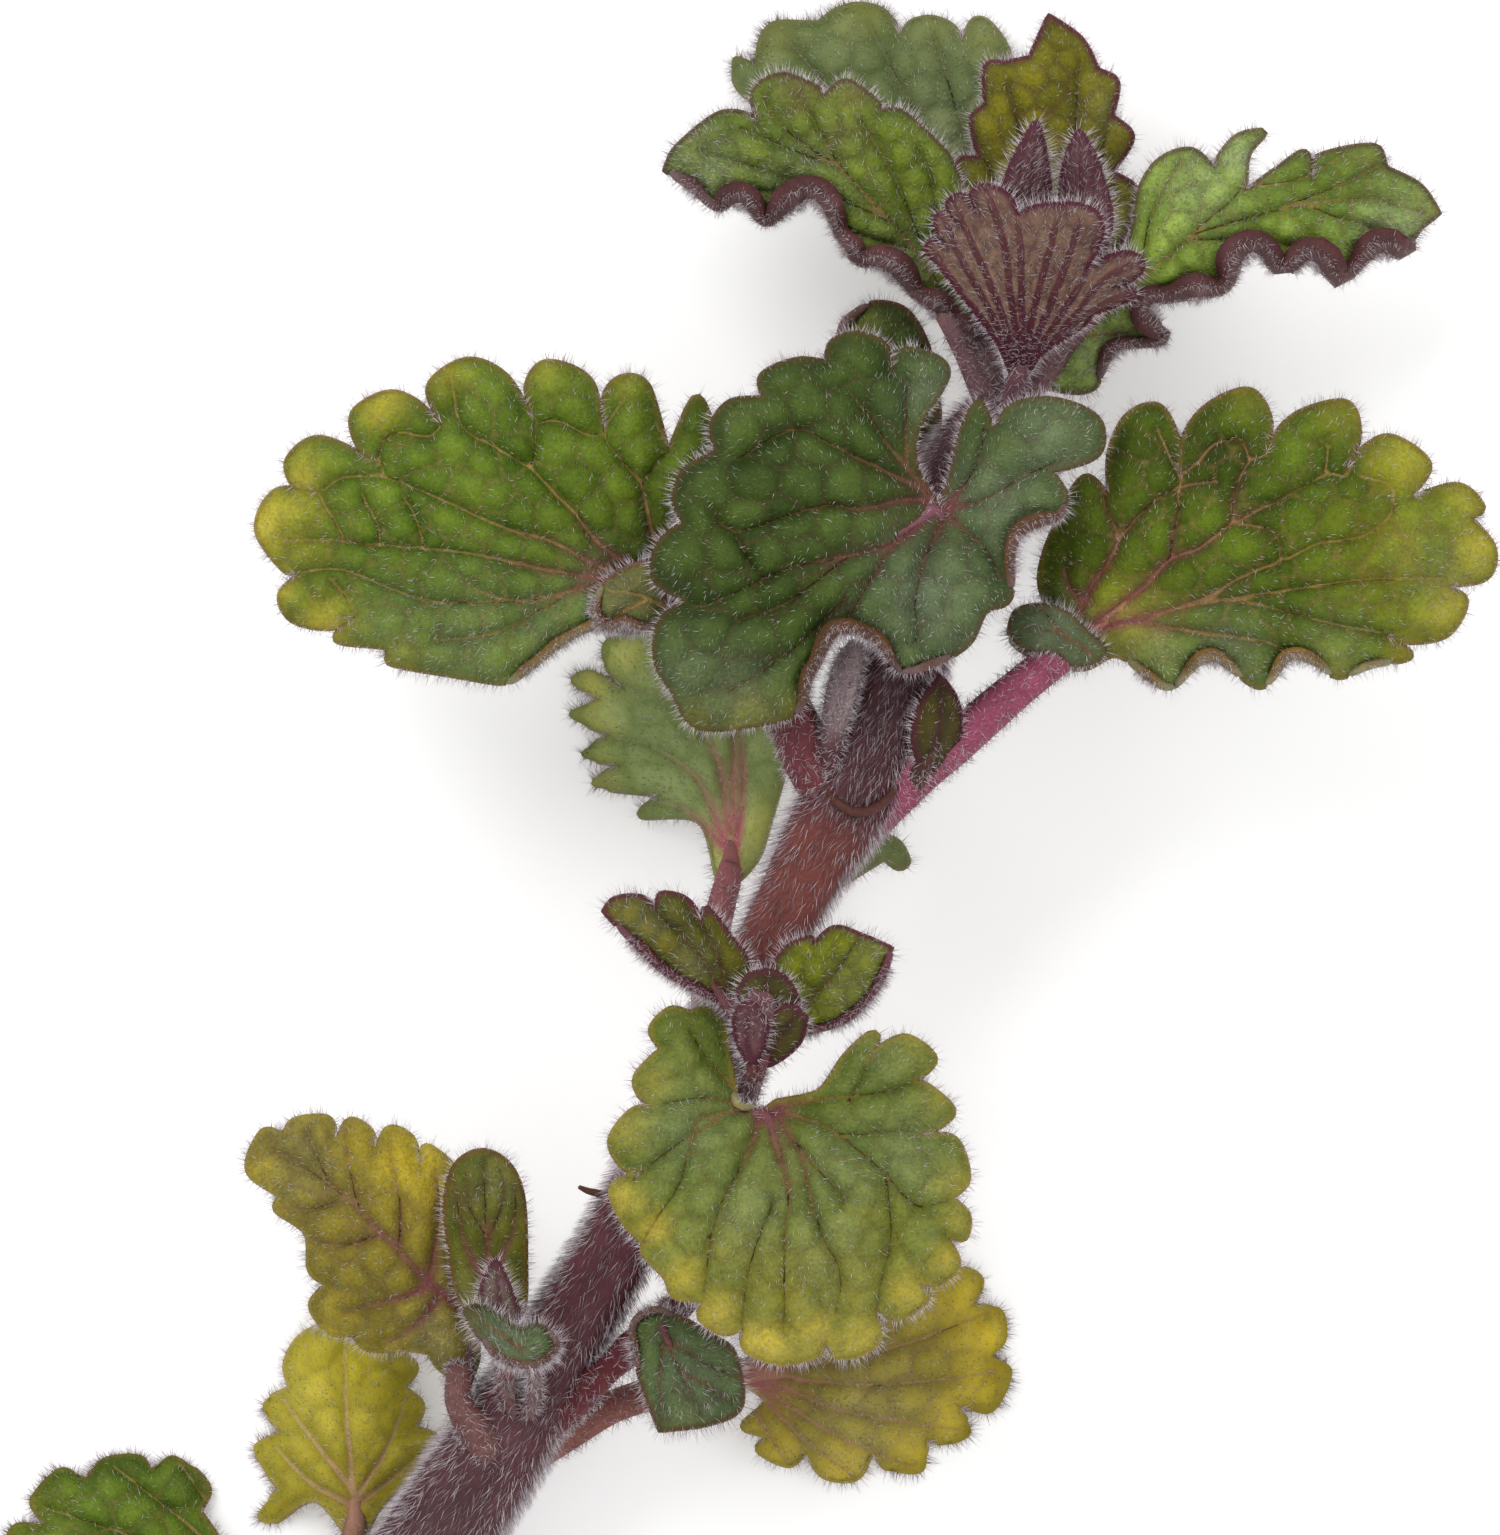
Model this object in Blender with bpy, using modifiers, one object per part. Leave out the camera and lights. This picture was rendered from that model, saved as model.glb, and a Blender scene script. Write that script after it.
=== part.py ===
"""A cut shoot of catmint, lying on a surface.

The shoot is one bent stem with opposite pairs of scalloped leaves at its
nodes, small shoots and buds in the axils, and a crown of young leaves at its
tip. It rests on its cut end and on the leaves of its underside.

Outlines are drawn in plan, 30 drawing units to a millimetre, u to the right
and v down the sheet, as seen from EYE above the surface: what stands higher is
drawn a little larger. Heights above the surface are in millimetres. A third
number 1 marks a sharp notch or point of an outline.
"""
import math

import bpy
import bmesh
import numpy as np
from mathutils import Vector
from mathutils.geometry import delaunay_2d_cdt

# ---------------------------------------------------------------- dimensions
MM = 0.001
UNIT = MM / 30.0          # one drawing unit
EYE = 0.500               # height of the drawing's eye above the surface
LEVEL = 0.010             # height at which a drawing unit has its true size
EYE_U = 750.0             # drawing position straight below the eye
EYE_V = 767.5
EYE_X = 0.0002774           # the same point in the shoot's own frame
EYE_Y = 0.0031085
BLADE = 0.50 * MM         # leaf blade thickness
PETIOLE_SIDES = 1         # bevel resolution of leaf stalks
FLAT = 0.06 * MM          # what comes this near the surface lies flat on it

STEM = (0.33, 0.10, 0.10, 1.0)
OLD_LEAF = (0.16, 0.22, 0.06, 1.0)
YELLOW_LEAF = (0.36, 0.33, 0.07, 1.0)
DARK_LEAF = (0.08, 0.14, 0.05, 1.0)
PURPLE_LEAF = (0.16, 0.08, 0.09, 1.0)


def place(u, v, z_mm):
    """A drawing point at a height, in metres, in the shoot's own frame."""
    z = z_mm * MM
    s = UNIT * (EYE - z) / (EYE - LEVEL)
    return Vector((EYE_X + (u - EYE_U) * s, EYE_Y + (EYE_V - v) * s, z))


# ---------------------------------------------------------------- the stem
# axis of the stem from the cut end to the tip: u, v, height, radius in units
STEM_AXIS = [
    (346, 1694, 1.82, 57), (372, 1648, 2.15, 60), (392, 1612, 2.75, 62),
    (420, 1568, 3.50, 58), (450, 1520, 4.20, 55), (480, 1472, 4.95, 54),
    (512, 1424, 5.80, 50), (540, 1378, 6.50, 44), (572, 1322, 7.20, 41),
    (604, 1268, 7.80, 39), (633, 1214, 8.30, 37), (662, 1158, 8.80, 36),
    (690, 1104, 9.20, 38), (714, 1056, 9.50, 43), (740, 1004, 9.80, 37),
    (776, 932, 10.20, 35), (806, 872, 10.50, 38), (832, 828, 10.80, 45),
    (852, 795, 11.00, 43), (872, 750, 11.10, 42), (892, 700, 11.10, 42),
    (908, 650, 11.00, 41), (924, 590, 10.80, 36), (938, 530, 10.50, 36),
    (950, 480, 10.10, 33), (974, 436, 9.30, 30), (992, 416, 8.70, 25),
    (1002, 405, 8.35, 13),
]

# ---------------------------------------------------------------- the leaves
# Each leaf: outline of its blade, heights (u, v, mm) that the blade's surface
# passes through, the axis of its stalk (u, v, mm, radius in units), and colour.
LEAVES = {}

LEAVES["leaf_left"] = dict(
    colour=OLD_LEAF,
    outline=[
        (651, 625), (655, 546), (690, 500), (712, 440), (708, 413), (694, 398), (668, 453, 1),
        (648, 386), (626, 376), (606, 392), (603, 433, 1), (590, 380), (547, 362),
        (527, 385), (534, 421, 1), (505, 375), (466, 360), (429, 386), (442, 426, 1),
        (414, 400), (386, 393), (353, 413), (358, 445), (379, 463, 1), (320, 438),
        (288, 459), (294, 485), (320, 492, 1), (276, 491), (257, 529), (283, 569),
        (300, 574, 1), (280, 595), (292, 620), (330, 628), (356, 615, 1), (336, 640),
        (386, 648), (389, 663), (452, 675), (505, 683), (522, 675), (556, 648),
        (592, 628),
    ],
    heights=[
        (640, 585, 12.2), (520, 520, 13.2), (400, 500, 12.4), (265, 530, 9.4),
        (470, 370, 11.6), (600, 400, 12.2), (700, 420, 11.6), (340, 630, 10.0),
        (480, 675, 11.0), (600, 625, 12.6),
    ],
    stalk=[(790, 760, 11.8, 17), (776, 728, 12.0, 18), (735, 655, 12.1, 18),
           (690, 606, 12.1, 17), (640, 583, 12.2, 13), (590, 566, 12.6, 9)],
)

LEAVES["leaf_right"] = dict(
    colour=OLD_LEAF,
    outline=[
        (1060, 640), (1040, 580), (1058, 520), (1084, 477), (1109, 495, 1),
        (1110, 451), (1128, 415), (1159, 406), (1179, 442), (1180, 481, 1),
        (1185, 435), (1210, 404), (1250, 390), (1270, 419), (1265, 455, 1),
        (1283, 425), (1310, 408), (1348, 403), (1359, 435), (1345, 471, 1),
        (1366, 446), (1393, 437), (1429, 464), (1410, 498, 1), (1458, 485),
        (1483, 507), (1471, 518, 1), (1494, 549), (1486, 578), (1445, 586, 1),
        (1466, 601), (1448, 634), (1410, 642), (1384, 633, 1), (1411, 656),
        (1372, 666), (1338, 677), (1315, 663), (1289, 659), (1260, 687),
        (1211, 659), (1172, 687), (1149, 679), (1117, 655), (1085, 668),
        (1048, 664), (1011, 640), (1022, 612),
    ],
    heights=[
        (1088, 630, 12.4), (1200, 545, 13.4), (1350, 500, 12.2), (1480, 540, 9.6),
        (1160, 410, 11.6), (1250, 395, 11.6), (1350, 410, 10.8), (1338, 672, 10.8),
        (1180, 682, 11.9), (1022, 640, 11.4), (1060, 540, 12.4),
    ],
    stalk=[(936, 771, 11.6, 17), (962, 744, 11.8, 19), (1012, 696, 12.0, 20),
           (1060, 654, 12.3, 19), (1092, 628, 12.5, 15), (1140, 596, 13.1, 10)],
)

LEAVES["leaf_front"] = dict(
    colour=DARK_LEAF,
    outline=[
        (940, 508, 1), (917, 470), (917, 430), (948, 372), (917, 350), (893, 356),
        (892, 372, 1), (884, 344), (856, 334), (832, 342), (826, 362, 1), (796, 360),
        (762, 375), (763, 398, 1), (730, 402), (712, 425), (716, 452, 1), (685, 470),
        (674, 500), (684, 522, 1), (658, 545), (655, 580), (686, 600, 1), (660, 622),
        (656, 660), (672, 690), (702, 728), (793, 714), (812, 676), (838, 634), (874, 640),
        (898, 668), (926, 668), (968, 644), (985, 612), (1010, 598), (1017, 539),
        (1059, 517), (1066, 496), (1052, 472, 1), (1098, 454), (1098, 419),
        (1056, 400), (1014, 405), (993, 430, 1), (979, 402), (962, 430), (953, 470),
    ],
    heights=[
        (940, 510, 14.6), (850, 530, 16.6), (672, 580, 15.4), (740, 420, 15.6),
        (860, 345, 13.9), (780, 705, 14.4), (700, 722, 13.9), (900, 650, 15.4),
        (1010, 570, 15.6), (1090, 430, 14.4), (985, 420, 14.2), (935, 400, 13.9),
    ],
    stalk=[(936, 545, 12.6, 14), (939, 524, 13.6, 14), (930, 512, 14.6, 13),
           (880, 545, 16.2, 10)],
)

LEAVES["leaf_back_upper"] = dict(
    colour=DARK_LEAF,
    outline=[
        (918, 470), (870, 440), (848, 400), (842, 360), (840, 330), (852, 314),
        (875, 303), (905, 310), (925, 340), (935, 380), (938, 430),
    ],
    heights=[(925, 465, 7.2), (885, 400, 6.8), (845, 330, 5.6), (905, 312, 6.0)],
    stalk=[(938, 500, 8.4, 12), (930, 482, 7.6, 12), (912, 446, 7.1, 10)],
)

LEAVES["leaf_front_lower"] = dict(
    colour=OLD_LEAF,
    outline=[
        (766, 1109), (749, 1106, 1), (738, 1102), (729, 1056), (722, 1024), (706, 1009),
        (690, 1013, 1), (670, 1009), (651, 1029), (661, 1049, 1), (636, 1076),
        (640, 1096), (653, 1106, 1), (630, 1112), (610, 1142), (626, 1169), (646, 1169, 1),
        (616, 1182), (612, 1198), (626, 1225), (643, 1242, 1), (644, 1254), (666, 1278),
        (674, 1296), (703, 1301, 1), (700, 1318), (723, 1333), (743, 1328, 1),
        (746, 1350), (782, 1363), (819, 1354), (825, 1341, 1), (836, 1356), (860, 1354),
        (879, 1338), (875, 1308, 1), (898, 1318), (928, 1298), (918, 1283, 1),
        (938, 1283), (958, 1265), (948, 1238, 1), (965, 1238), (968, 1215), (952, 1198, 1),
        (968, 1178), (955, 1139), (918, 1135, 1), (942, 1125), (953, 1109), (928, 1086),
        (915, 1082, 1), (935, 1059), (908, 1037), (882, 1046), (869, 1062, 1),
        (878, 1036), (869, 1034), (845, 1056), (822, 1089), (802, 1097), (776, 1102),
    ],
    heights=[
        (766, 1109, 13.6), (790, 1200, 15.6), (786, 1355, 13.0), (640, 1100, 13.6),
        (625, 1200, 13.6), (700, 1300, 13.8), (930, 1060, 13.8), (955, 1240, 13.6),
        (890, 1320, 13.2), (690, 1020, 12.9), (870, 1180, 15.0),
    ],
    stalk=[(712, 1114, 11.1, 14), (738, 1120, 12.3, 14), (766, 1118, 13.7, 12),
           (780, 1160, 14.9, 10)],
)

LEAVES["leaf_back_lower"] = dict(
    colour=OLD_LEAF,
    outline=[
        (722, 884), (700, 822), (641, 816), (660, 795, 1), (592, 785), (620, 765, 1),
        (581, 755), (610, 735, 1), (569, 715), (600, 700, 1), (571, 682), (590, 670),
        (625, 690, 1), (603, 660), (606, 640), (630, 634), (660, 620), (690, 590), (740, 600),
        (775, 640), (790, 700), (786, 760), (770, 820), (755, 862),
    ],
    heights=[
        (735, 870, 5.2), (745, 760, 4.4), (700, 720, 3.4), (640, 700, 1.5),
        (575, 700, 0.1), (600, 780, 0.3), (615, 645, 0.3), (660, 812, 1.8),
        (785, 720, 3.6), (720, 600, 1.4),
    ],
    stalk=[(706, 1060, 7.2, 14), (706, 985, 6.7, 15), (718, 920, 6.0, 15),
           (733, 860, 5.1, 13), (744, 800, 4.6, 9)],
)

LEAVES["leaf_lower_left"] = dict(
    colour=YELLOW_LEAF,
    outline=[
        (466, 1312), (452, 1240), (450, 1190), (454, 1168), (426, 1146), (420, 1168, 1),
        (412, 1138), (389, 1128), (376, 1150, 1), (370, 1130), (350, 1120),
        (336, 1140, 1), (328, 1118), (295, 1120), (284, 1134, 1), (262, 1132), (248, 1170),
        (280, 1196, 1), (276, 1210), (306, 1233), (310, 1270), (326, 1284, 1), (311, 1306),
        (330, 1332), (353, 1334, 1), (368, 1349), (406, 1349), (429, 1352, 1), (440, 1368),
        (466, 1382), (478, 1350),
    ],
    heights=[
        (468, 1330, 7.3), (400, 1250, 8.6), (262, 1160, 7.0), (330, 1330, 6.2),
        (420, 1150, 8.2), (450, 1370, 6.3), (300, 1125, 7.4),
    ],
    stalk=[(458, 1400, 7.5, 14), (462, 1366, 7.5, 14), (462, 1326, 7.6, 12),
           (430, 1282, 8.2, 9)],
)

LEAVES["leaf_lower_right"] = dict(
    colour=YELLOW_LEAF,
    outline=[
        (737, 1372), (765, 1400), (743, 1426), (768, 1436, 1), (758, 1450), (788, 1465),
        (806, 1452, 1), (824, 1476), (856, 1478), (872, 1452, 1), (890, 1470),
        (923, 1471), (926, 1438, 1), (950, 1444), (971, 1432), (956, 1405, 1),
        (992, 1412), (1012, 1372), (992, 1356, 1), (1006, 1340), (1002, 1310), (972, 1306, 1),
        (981, 1280), (960, 1270), (930, 1290), (860, 1310), (790, 1335),
    ],
    heights=[
        (745, 1375, 4.4), (850, 1385, 3.8), (1008, 1350, 0.1), (960, 1440, 0.2),
        (870, 1476, 0.4), (760, 1440, 2.4), (960, 1275, 1.0), (800, 1330, 3.6),
    ],
    stalk=[(614, 1406, 5.3, 17), (656, 1392, 5.1, 17), (700, 1374, 4.8, 16),
           (740, 1370, 4.4, 13), (800, 1376, 4.1, 9)],
)

LEAVES["leaf_bottom_back"] = dict(
    colour=YELLOW_LEAF,
    outline=[
        (356, 1540), (316, 1500), (273, 1523), (258, 1515), (280, 1488, 1), (263, 1468),
        (255, 1445), (282, 1432, 1), (263, 1405), (290, 1388, 1), (286, 1362),
        (303, 1335), (340, 1322), (380, 1330), (403, 1352), (416, 1368), (404, 1388, 1),
        (422, 1405), (415, 1428, 1), (438, 1440), (430, 1480), (400, 1488), (378, 1510),
    ],
    heights=[
        (356, 1520, 2.1), (350, 1430, 2.6), (262, 1440, 0.2), (265, 1515, 0.2),
        (300, 1350, 0.8), (400, 1350, 1.6), (432, 1450, 1.5),
    ],
    stalk=[(340, 1576, 1.3, 12), (350, 1548, 1.6, 12), (356, 1520, 2.0, 12),
           (352, 1470, 2.4, 9)],
)

LEAVES["leaf_bottom_left"] = dict(
    colour=OLD_LEAF,
    outline=[
        (262, 1612), (240, 1570), (214, 1532), (200, 1512, 1), (208, 1486), (175, 1456),
        (152, 1470, 1), (140, 1455), (104, 1458), (86, 1480, 1), (60, 1468), (30, 1500),
        (44, 1524, 1), (12, 1526), (2, 1566), (26, 1588, 1), (10, 1612), (40, 1648),
        (72, 1644, 1), (84, 1674), (126, 1682), (144, 1656, 1), (168, 1674), (206, 1662),
        (214, 1634, 1),
    ],
    heights=[
        (262, 1612, 1.9), (130, 1570, 2.1), (8, 1560, 0.1), (110, 1676, 0.2),
        (120, 1458, 0.4), (200, 1500, 0.9),
    ],
    stalk=[(282, 1630, 2.0, 13), (262, 1614, 1.9, 12),
           (200, 1594, 2.0, 9)],
)

LEAVES["leaf_top_left"] = dict(
    colour=OLD_LEAF,
    outline=[
        (978, 378), (972, 340), (930, 309), (909, 291), (881, 267), (853, 260),
        (828, 217), (810, 198), (768, 224), (740, 202), (719, 210), (691, 189),
        (665, 170, 1), (677, 147), (719, 114), (751, 116), (758, 126, 1), (754, 91),
        (782, 75), (817, 88), (823, 98, 1), (846, 81), (877, 102), (881, 112, 1),
        (902, 112), (940, 147), (954, 168), (970, 220), (976, 270), (986, 320), (990, 360),
    ],
    heights=[
        (980, 365, 8.9), (870, 210, 9.4), (740, 160, 8.0), (670, 168, 6.6),
        (785, 85, 7.4), (900, 120, 8.2), (955, 180, 8.6), (800, 215, 8.2),
        (900, 285, 9.0),
    ],
    stalk=[(976, 379, 8.9, 12), (964, 350, 9.0, 12), (936, 300, 9.2, 9)],
)

LEAVES["leaf_top_right"] = dict(
    colour=OLD_LEAF,
    outline=[
        (1040, 380), (1050, 350), (1090, 310), (1130, 240), (1140, 190), (1160, 160),
        (1191, 150), (1215, 169, 1), (1219, 157), (1238, 136), (1265, 132), (1248, 155),
        (1245, 192, 1), (1277, 169), (1305, 152), (1311, 180, 1), (1317, 157),
        (1374, 146), (1386, 168, 1), (1420, 186), (1439, 213, 1), (1417, 232), (1404, 262),
        (1383, 252), (1351, 275), (1328, 301), (1314, 260), (1282, 275), (1251, 251),
        (1222, 292), (1150, 304), (1168, 333), (1159, 344), (1116, 350), (1093, 388),
        (1059, 390),
    ],
    heights=[
        (1045, 372, 8.9), (1150, 260, 9.4), (1280, 210, 8.0), (1436, 214, 5.4),
        (1262, 135, 7.2), (1160, 165, 8.4), (1320, 290, 7.0), (1160, 340, 8.4),
        (1095, 382, 8.4),
    ],
    stalk=[(1034, 388, 8.8, 12), (1054, 362, 8.9, 12), (1110, 300, 9.2, 9)],
)

LEAVES["leaf_top_back"] = dict(
    colour=OLD_LEAF,
    outline=[
        (984, 346), (930, 280), (860, 210), (790, 130), (740, 90), (733, 58),
        (754, 62, 1), (760, 36), (775, 21), (817, 21, 1), (836, 8), (860, 2), (886, 10),
        (900, 36, 1), (912, 22), (932, 18), (952, 26), (962, 42, 1), (974, 20), (990, 24),
        (1010, 56), (1016, 110), (1008, 200), (1002, 290),
    ],
    heights=[
        (985, 340, 5.6), (930, 180, 4.0), (860, 8, 0.1), (745, 70, 0.5),
        (790, 130, 2.2), (975, 30, 1.0), (1008, 180, 3.9),
    ],
    stalk=[(992, 380, 7.2, 12), (988, 358, 6.2, 12), (970, 300, 5.1, 9)],
)

LEAVES["leaf_top_pointed"] = dict(
    colour=PURPLE_LEAF,
    outline=[
        (1030, 352), (998, 300), (968, 240), (958, 185), (958, 161), (979, 158, 1),
        (972, 119), (986, 105, 1), (986, 66), (1007, 63), (1030, 58, 1), (1049, 16, 1),
        (1081, 39), (1098, 70, 1), (1117, 82), (1112, 116, 1), (1132, 137), (1112, 172, 1),
        (1137, 193), (1120, 245), (1090, 290), (1060, 330),
    ],
    heights=[
        (1030, 345, 7.4), (1040, 220, 7.0), (1045, 90, 6.6), (1049, 18, 6.4),
        (965, 170, 6.2), (1130, 180, 6.2),
    ],
    stalk=[(1020, 372, 7.5, 10), (1026, 340, 7.4, 10), (1036, 280, 7.2, 8)],
)

LEAVES["leaf_young_fan"] = dict(
    colour=PURPLE_LEAF,
    outline=[
        (1014, 380), (996, 330), (951, 281), (930, 246), (937, 214), (954, 196),
        (979, 189), (993, 186), (1014, 207, 1), (1052, 207), (1091, 214), (1105, 239),
        (1088, 267, 1), (1119, 249), (1142, 260), (1126, 291), (1084, 323), (1049, 344),
        (1034, 370),
    ],
    heights=[
        (1020, 378, 10.4), (1030, 290, 12.6), (1040, 212, 13.6), (940, 230, 12.4),
        (1130, 262, 12.2), (985, 195, 13.2),
    ],
    stalk=[(1014, 394, 10.0, 10), (1020, 366, 10.8, 10), (1026, 320, 11.9, 9)],
)

LEAVES["bud_top_left"] = dict(
    colour=PURPLE_LEAF,
    outline=[
        (1034, 300), (1014, 250), (1002, 200), (1014, 160), (1037, 118, 1), (1046, 160),
        (1050, 210), (1046, 260),
    ],
    heights=[(1034, 298, 10.6), (1028, 200, 11.4), (1037, 120, 11.6)],
    stalk=[(1016, 372, 9.6, 6), (1028, 320, 10.4, 8), (1032, 270, 10.8, 9)],
)

LEAVES["bud_top_right"] = dict(
    colour=PURPLE_LEAF,
    outline=[
        (1062, 300), (1062, 250), (1060, 200), (1066, 160), (1079, 128, 1), (1096, 160),
        (1110, 210), (1106, 242), (1088, 276),
    ],
    heights=[(1064, 296, 10.4), (1084, 210, 10.7), (1079, 130, 10.8)],
    stalk=[(1038, 356, 9.7, 6), (1054, 322, 10.2, 7), (1070, 276, 10.6, 8)],
)

LEAVES["axil_leaf_left"] = dict(
    colour=DARK_LEAF,
    outline=[
        (736, 1012), (718, 1002), (673, 978), (650, 960), (637, 947), (604, 911, 1),
        (615, 899), (640, 897), (656, 908, 1), (661, 894), (684, 898), (698, 914),
        (701, 923, 1), (707, 908), (731, 938), (747, 960), (750, 985),
    ],
    heights=[(728, 1000, 13.6), (690, 950, 13.7), (606, 912, 12.6), (705, 912, 13.0),
             (670, 975, 13.0)],
    stalk=[(731, 1024, 13.9, 5), (724, 1006, 13.7, 6), (708, 978, 13.5, 6)],
)

LEAVES["axil_leaf_right"] = dict(
    colour=DARK_LEAF,
    outline=[
        (778, 1022), (784, 990), (774, 969), (787, 948), (811, 938), (814, 944, 1),
        (835, 928), (862, 936), (892, 949, 1), (886, 970), (878, 987), (854, 1015),
        (829, 1027), (799, 1032),
    ],
    heights=[(786, 1015, 13.2), (830, 975, 13.8), (890, 950, 13.0), (800, 945, 13.2),
             (845, 1020, 13.0)],
    stalk=[(790, 1052, 12.5, 7), (790, 1026, 12.9, 7), (808, 998, 13.5, 6)],
)

LEAVES["axil_leaf_back"] = dict(
    colour=OLD_LEAF,
    outline=[
        (806, 905), (822, 872), (848, 848), (876, 836), (898, 842), (908, 862),
        (898, 868), (884, 858, 1), (868, 868), (840, 885),
    ],
    heights=[(812, 898, 6.2), (860, 856, 5.6), (905, 860, 4.8)],
    stalk=[(744, 1028, 7.5, 8), (770, 966, 6.9, 8), (810, 900, 6.2, 7),
           (846, 866, 5.8, 6)],
)

LEAVES["axil_leaf_erect"] = dict(
    colour=OLD_LEAF,
    outline=[
        (496, 1330), (462, 1302), (449, 1239), (446, 1200), (456, 1165), (482, 1151),
        (508, 1164), (522, 1196), (525, 1256), (522, 1312),
    ],
    heights=[(494, 1320, 9.0), (486, 1230, 9.9), (482, 1155, 10.0), (450, 1220, 9.6),
             (524, 1230, 9.6)],
    stalk=[(502, 1374, 8.4, 8), (498, 1345, 8.7, 8), (492, 1306, 9.2, 7),
           (488, 1260, 9.7, 6)],
)

LEAVES["axil_leaf_small"] = dict(
    colour=DARK_LEAF,
    outline=[
        (466, 1312), (484, 1308), (519, 1330), (539, 1326), (558, 1345), (539, 1365),
        (505, 1362), (484, 1342),
    ],
    heights=[(474, 1314, 11.9), (514, 1346, 12.3), (554, 1346, 11.5)],
    stalk=[(534, 1396, 8.6, 7), (534, 1378, 10.0, 7), (528, 1362, 11.6, 7),
           (514, 1348, 12.2, 6)],
)

LEAVES["axil_leaf_grey"] = dict(
    colour=DARK_LEAF,
    outline=[
        (641, 1378), (632, 1327), (653, 1309), (680, 1318), (712, 1336), (734, 1354),
        (741, 1405), (710, 1423), (660, 1430, 1),
    ],
    heights=[(650, 1318, 10.0), (690, 1370, 10.4), (738, 1400, 9.4), (662, 1425, 9.0),
             (728, 1350, 10.0)],
    stalk=[(664, 1316, 9.5, 6), (662, 1328, 9.9, 6), (676, 1356, 10.3, 5)],
)

# buds in the axils: a short woolly shoot, thick at its head
BUDS = {
    "axil_shoot": dict(
        colour=PURPLE_LEAF,
        axis=[(750, 1082, 12.0, 13), (753, 1066, 12.4, 15), (757, 1042, 13.3, 16),
              (761, 1018, 14.6, 18), (763, 996, 15.0, 16), (765, 976, 15.0, 7)],
    ),
    "axil_bud_left": dict(
        colour=PURPLE_LEAF,
        axis=[(826, 758, 12.9, 10), (836, 726, 13.2, 20), (846, 694, 13.4, 22),
              (856, 668, 13.4, 12)],
    ),
    "axil_bud_right": dict(
        colour=DARK_LEAF,
        axis=[(920, 770, 12.6, 8), (936, 734, 12.9, 15), (946, 704, 13.0, 15),
              (944, 682, 12.9, 7)],
    ),
    "side_shoot": dict(
        colour=STEM,
        axis=[(612, 1366, 7.9, 15), (630, 1350, 8.0, 18), (658, 1326, 8.3, 17),
              (690, 1296, 8.7, 14), (712, 1272, 8.9, 7)],
    ),
    "axil_bud_lower": dict(
        colour=PURPLE_LEAF,
        axis=[(506, 1358, 9.5, 6), (504, 1336, 10.2, 9), (501, 1306, 10.8, 10),
              (497, 1278, 11.0, 7), (496, 1262, 11.0, 3)],
    ),
}


# ---------------------------------------------------------------- helpers
def surface(points):
    """A smooth sheet through the points (u, v, mm): a thin plate, bent least."""
    p = np.array(points, float)
    xy, z = p[:, :2] / 100.0, p[:, 2]
    n = len(p)
    d = np.linalg.norm(xy[:, None] - xy[None], axis=2)
    k = np.where(d > 0, d * d * np.log(np.maximum(d, 1e-9)), 0.0)
    a = np.zeros((n + 3, n + 3))
    a[:n, :n] = k + np.eye(n) * 0.02
    a[:n, n] = 1
    a[:n, n + 1:] = xy
    a[n:, :n] = a[:n, n:].T
    w = np.linalg.lstsq(a, np.concatenate([z, np.zeros(3)]), rcond=None)[0]

    def height(u, v):
        q = np.array([u, v]) / 100.0
        r = np.linalg.norm(xy - q, axis=1)
        f = np.where(r > 0, r * r * np.log(np.maximum(r, 1e-9)), 0.0)
        return float(f @ w[:n] + w[n] + w[n + 1:] @ q)
    return height


def coarse(outline, step):
    """The outline with its sharp points kept and crowded points dropped."""
    kept = []
    for i, p in enumerate(outline):
        q = Vector(p[:2])
        near = kept and (q - Vector(kept[-1][:2])).length < step
        if near and len(p) < 3 and len(kept[-1]) == 3:
            continue
        if near and len(p) == 3:
            if len(kept[-1]) < 3:
                kept[-1] = p
            continue
        if near:
            continue
        kept.append(p)
    if (Vector(kept[0][:2]) - Vector(kept[-1][:2])).length < step:
        kept.pop()
    return [(p[0], p[1]) for p in kept]


def material(name, colour, roughness):
    m = bpy.data.materials.new(name)
    m.use_nodes = True
    b = m.node_tree.nodes["Principled BSDF"]
    b.inputs["Base Color"].default_value = colour
    b.inputs["Roughness"].default_value = roughness
    b.inputs["Metallic"].default_value = 0.0
    m.diffuse_color = colour
    return m


def tube(name, axis, sides, collection):
    """A stalk of varying thickness along an axis of (u, v, mm, radius)."""
    data = bpy.data.curves.new(name, "CURVE")
    data.dimensions = "3D"
    data.bevel_depth = MM
    data.bevel_resolution = sides
    data.use_fill_caps = True
    spline = data.splines.new("POLY")
    spline.points.add(len(axis) - 1)
    for p, (u, v, z, r) in zip(spline.points, axis):
        p.co = (*place(u, v, z), 1.0)
        p.radius = r * UNIT / MM
    ob = bpy.data.objects.new(name, data)
    collection.objects.link(ob)
    return ob


def as_mesh(ob, collection):
    """The object's evaluated shape as a mesh object; the source is removed."""
    bpy.context.view_layer.update()
    deps = bpy.context.evaluated_depsgraph_get()
    mesh = bpy.data.meshes.new_from_object(ob.evaluated_get(deps))
    bm = bmesh.new()
    bm.from_mesh(mesh)
    bmesh.ops.remove_doubles(bm, verts=bm.verts, dist=1e-7)
    bmesh.ops.recalc_face_normals(bm, faces=bm.faces)
    bm.to_mesh(mesh)
    bm.free()
    name, world = ob.name, ob.matrix_world.copy()
    bpy.data.objects.remove(ob)
    new = bpy.data.objects.new(name, mesh)
    new.matrix_world = world
    collection.objects.link(new)
    return new


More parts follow.
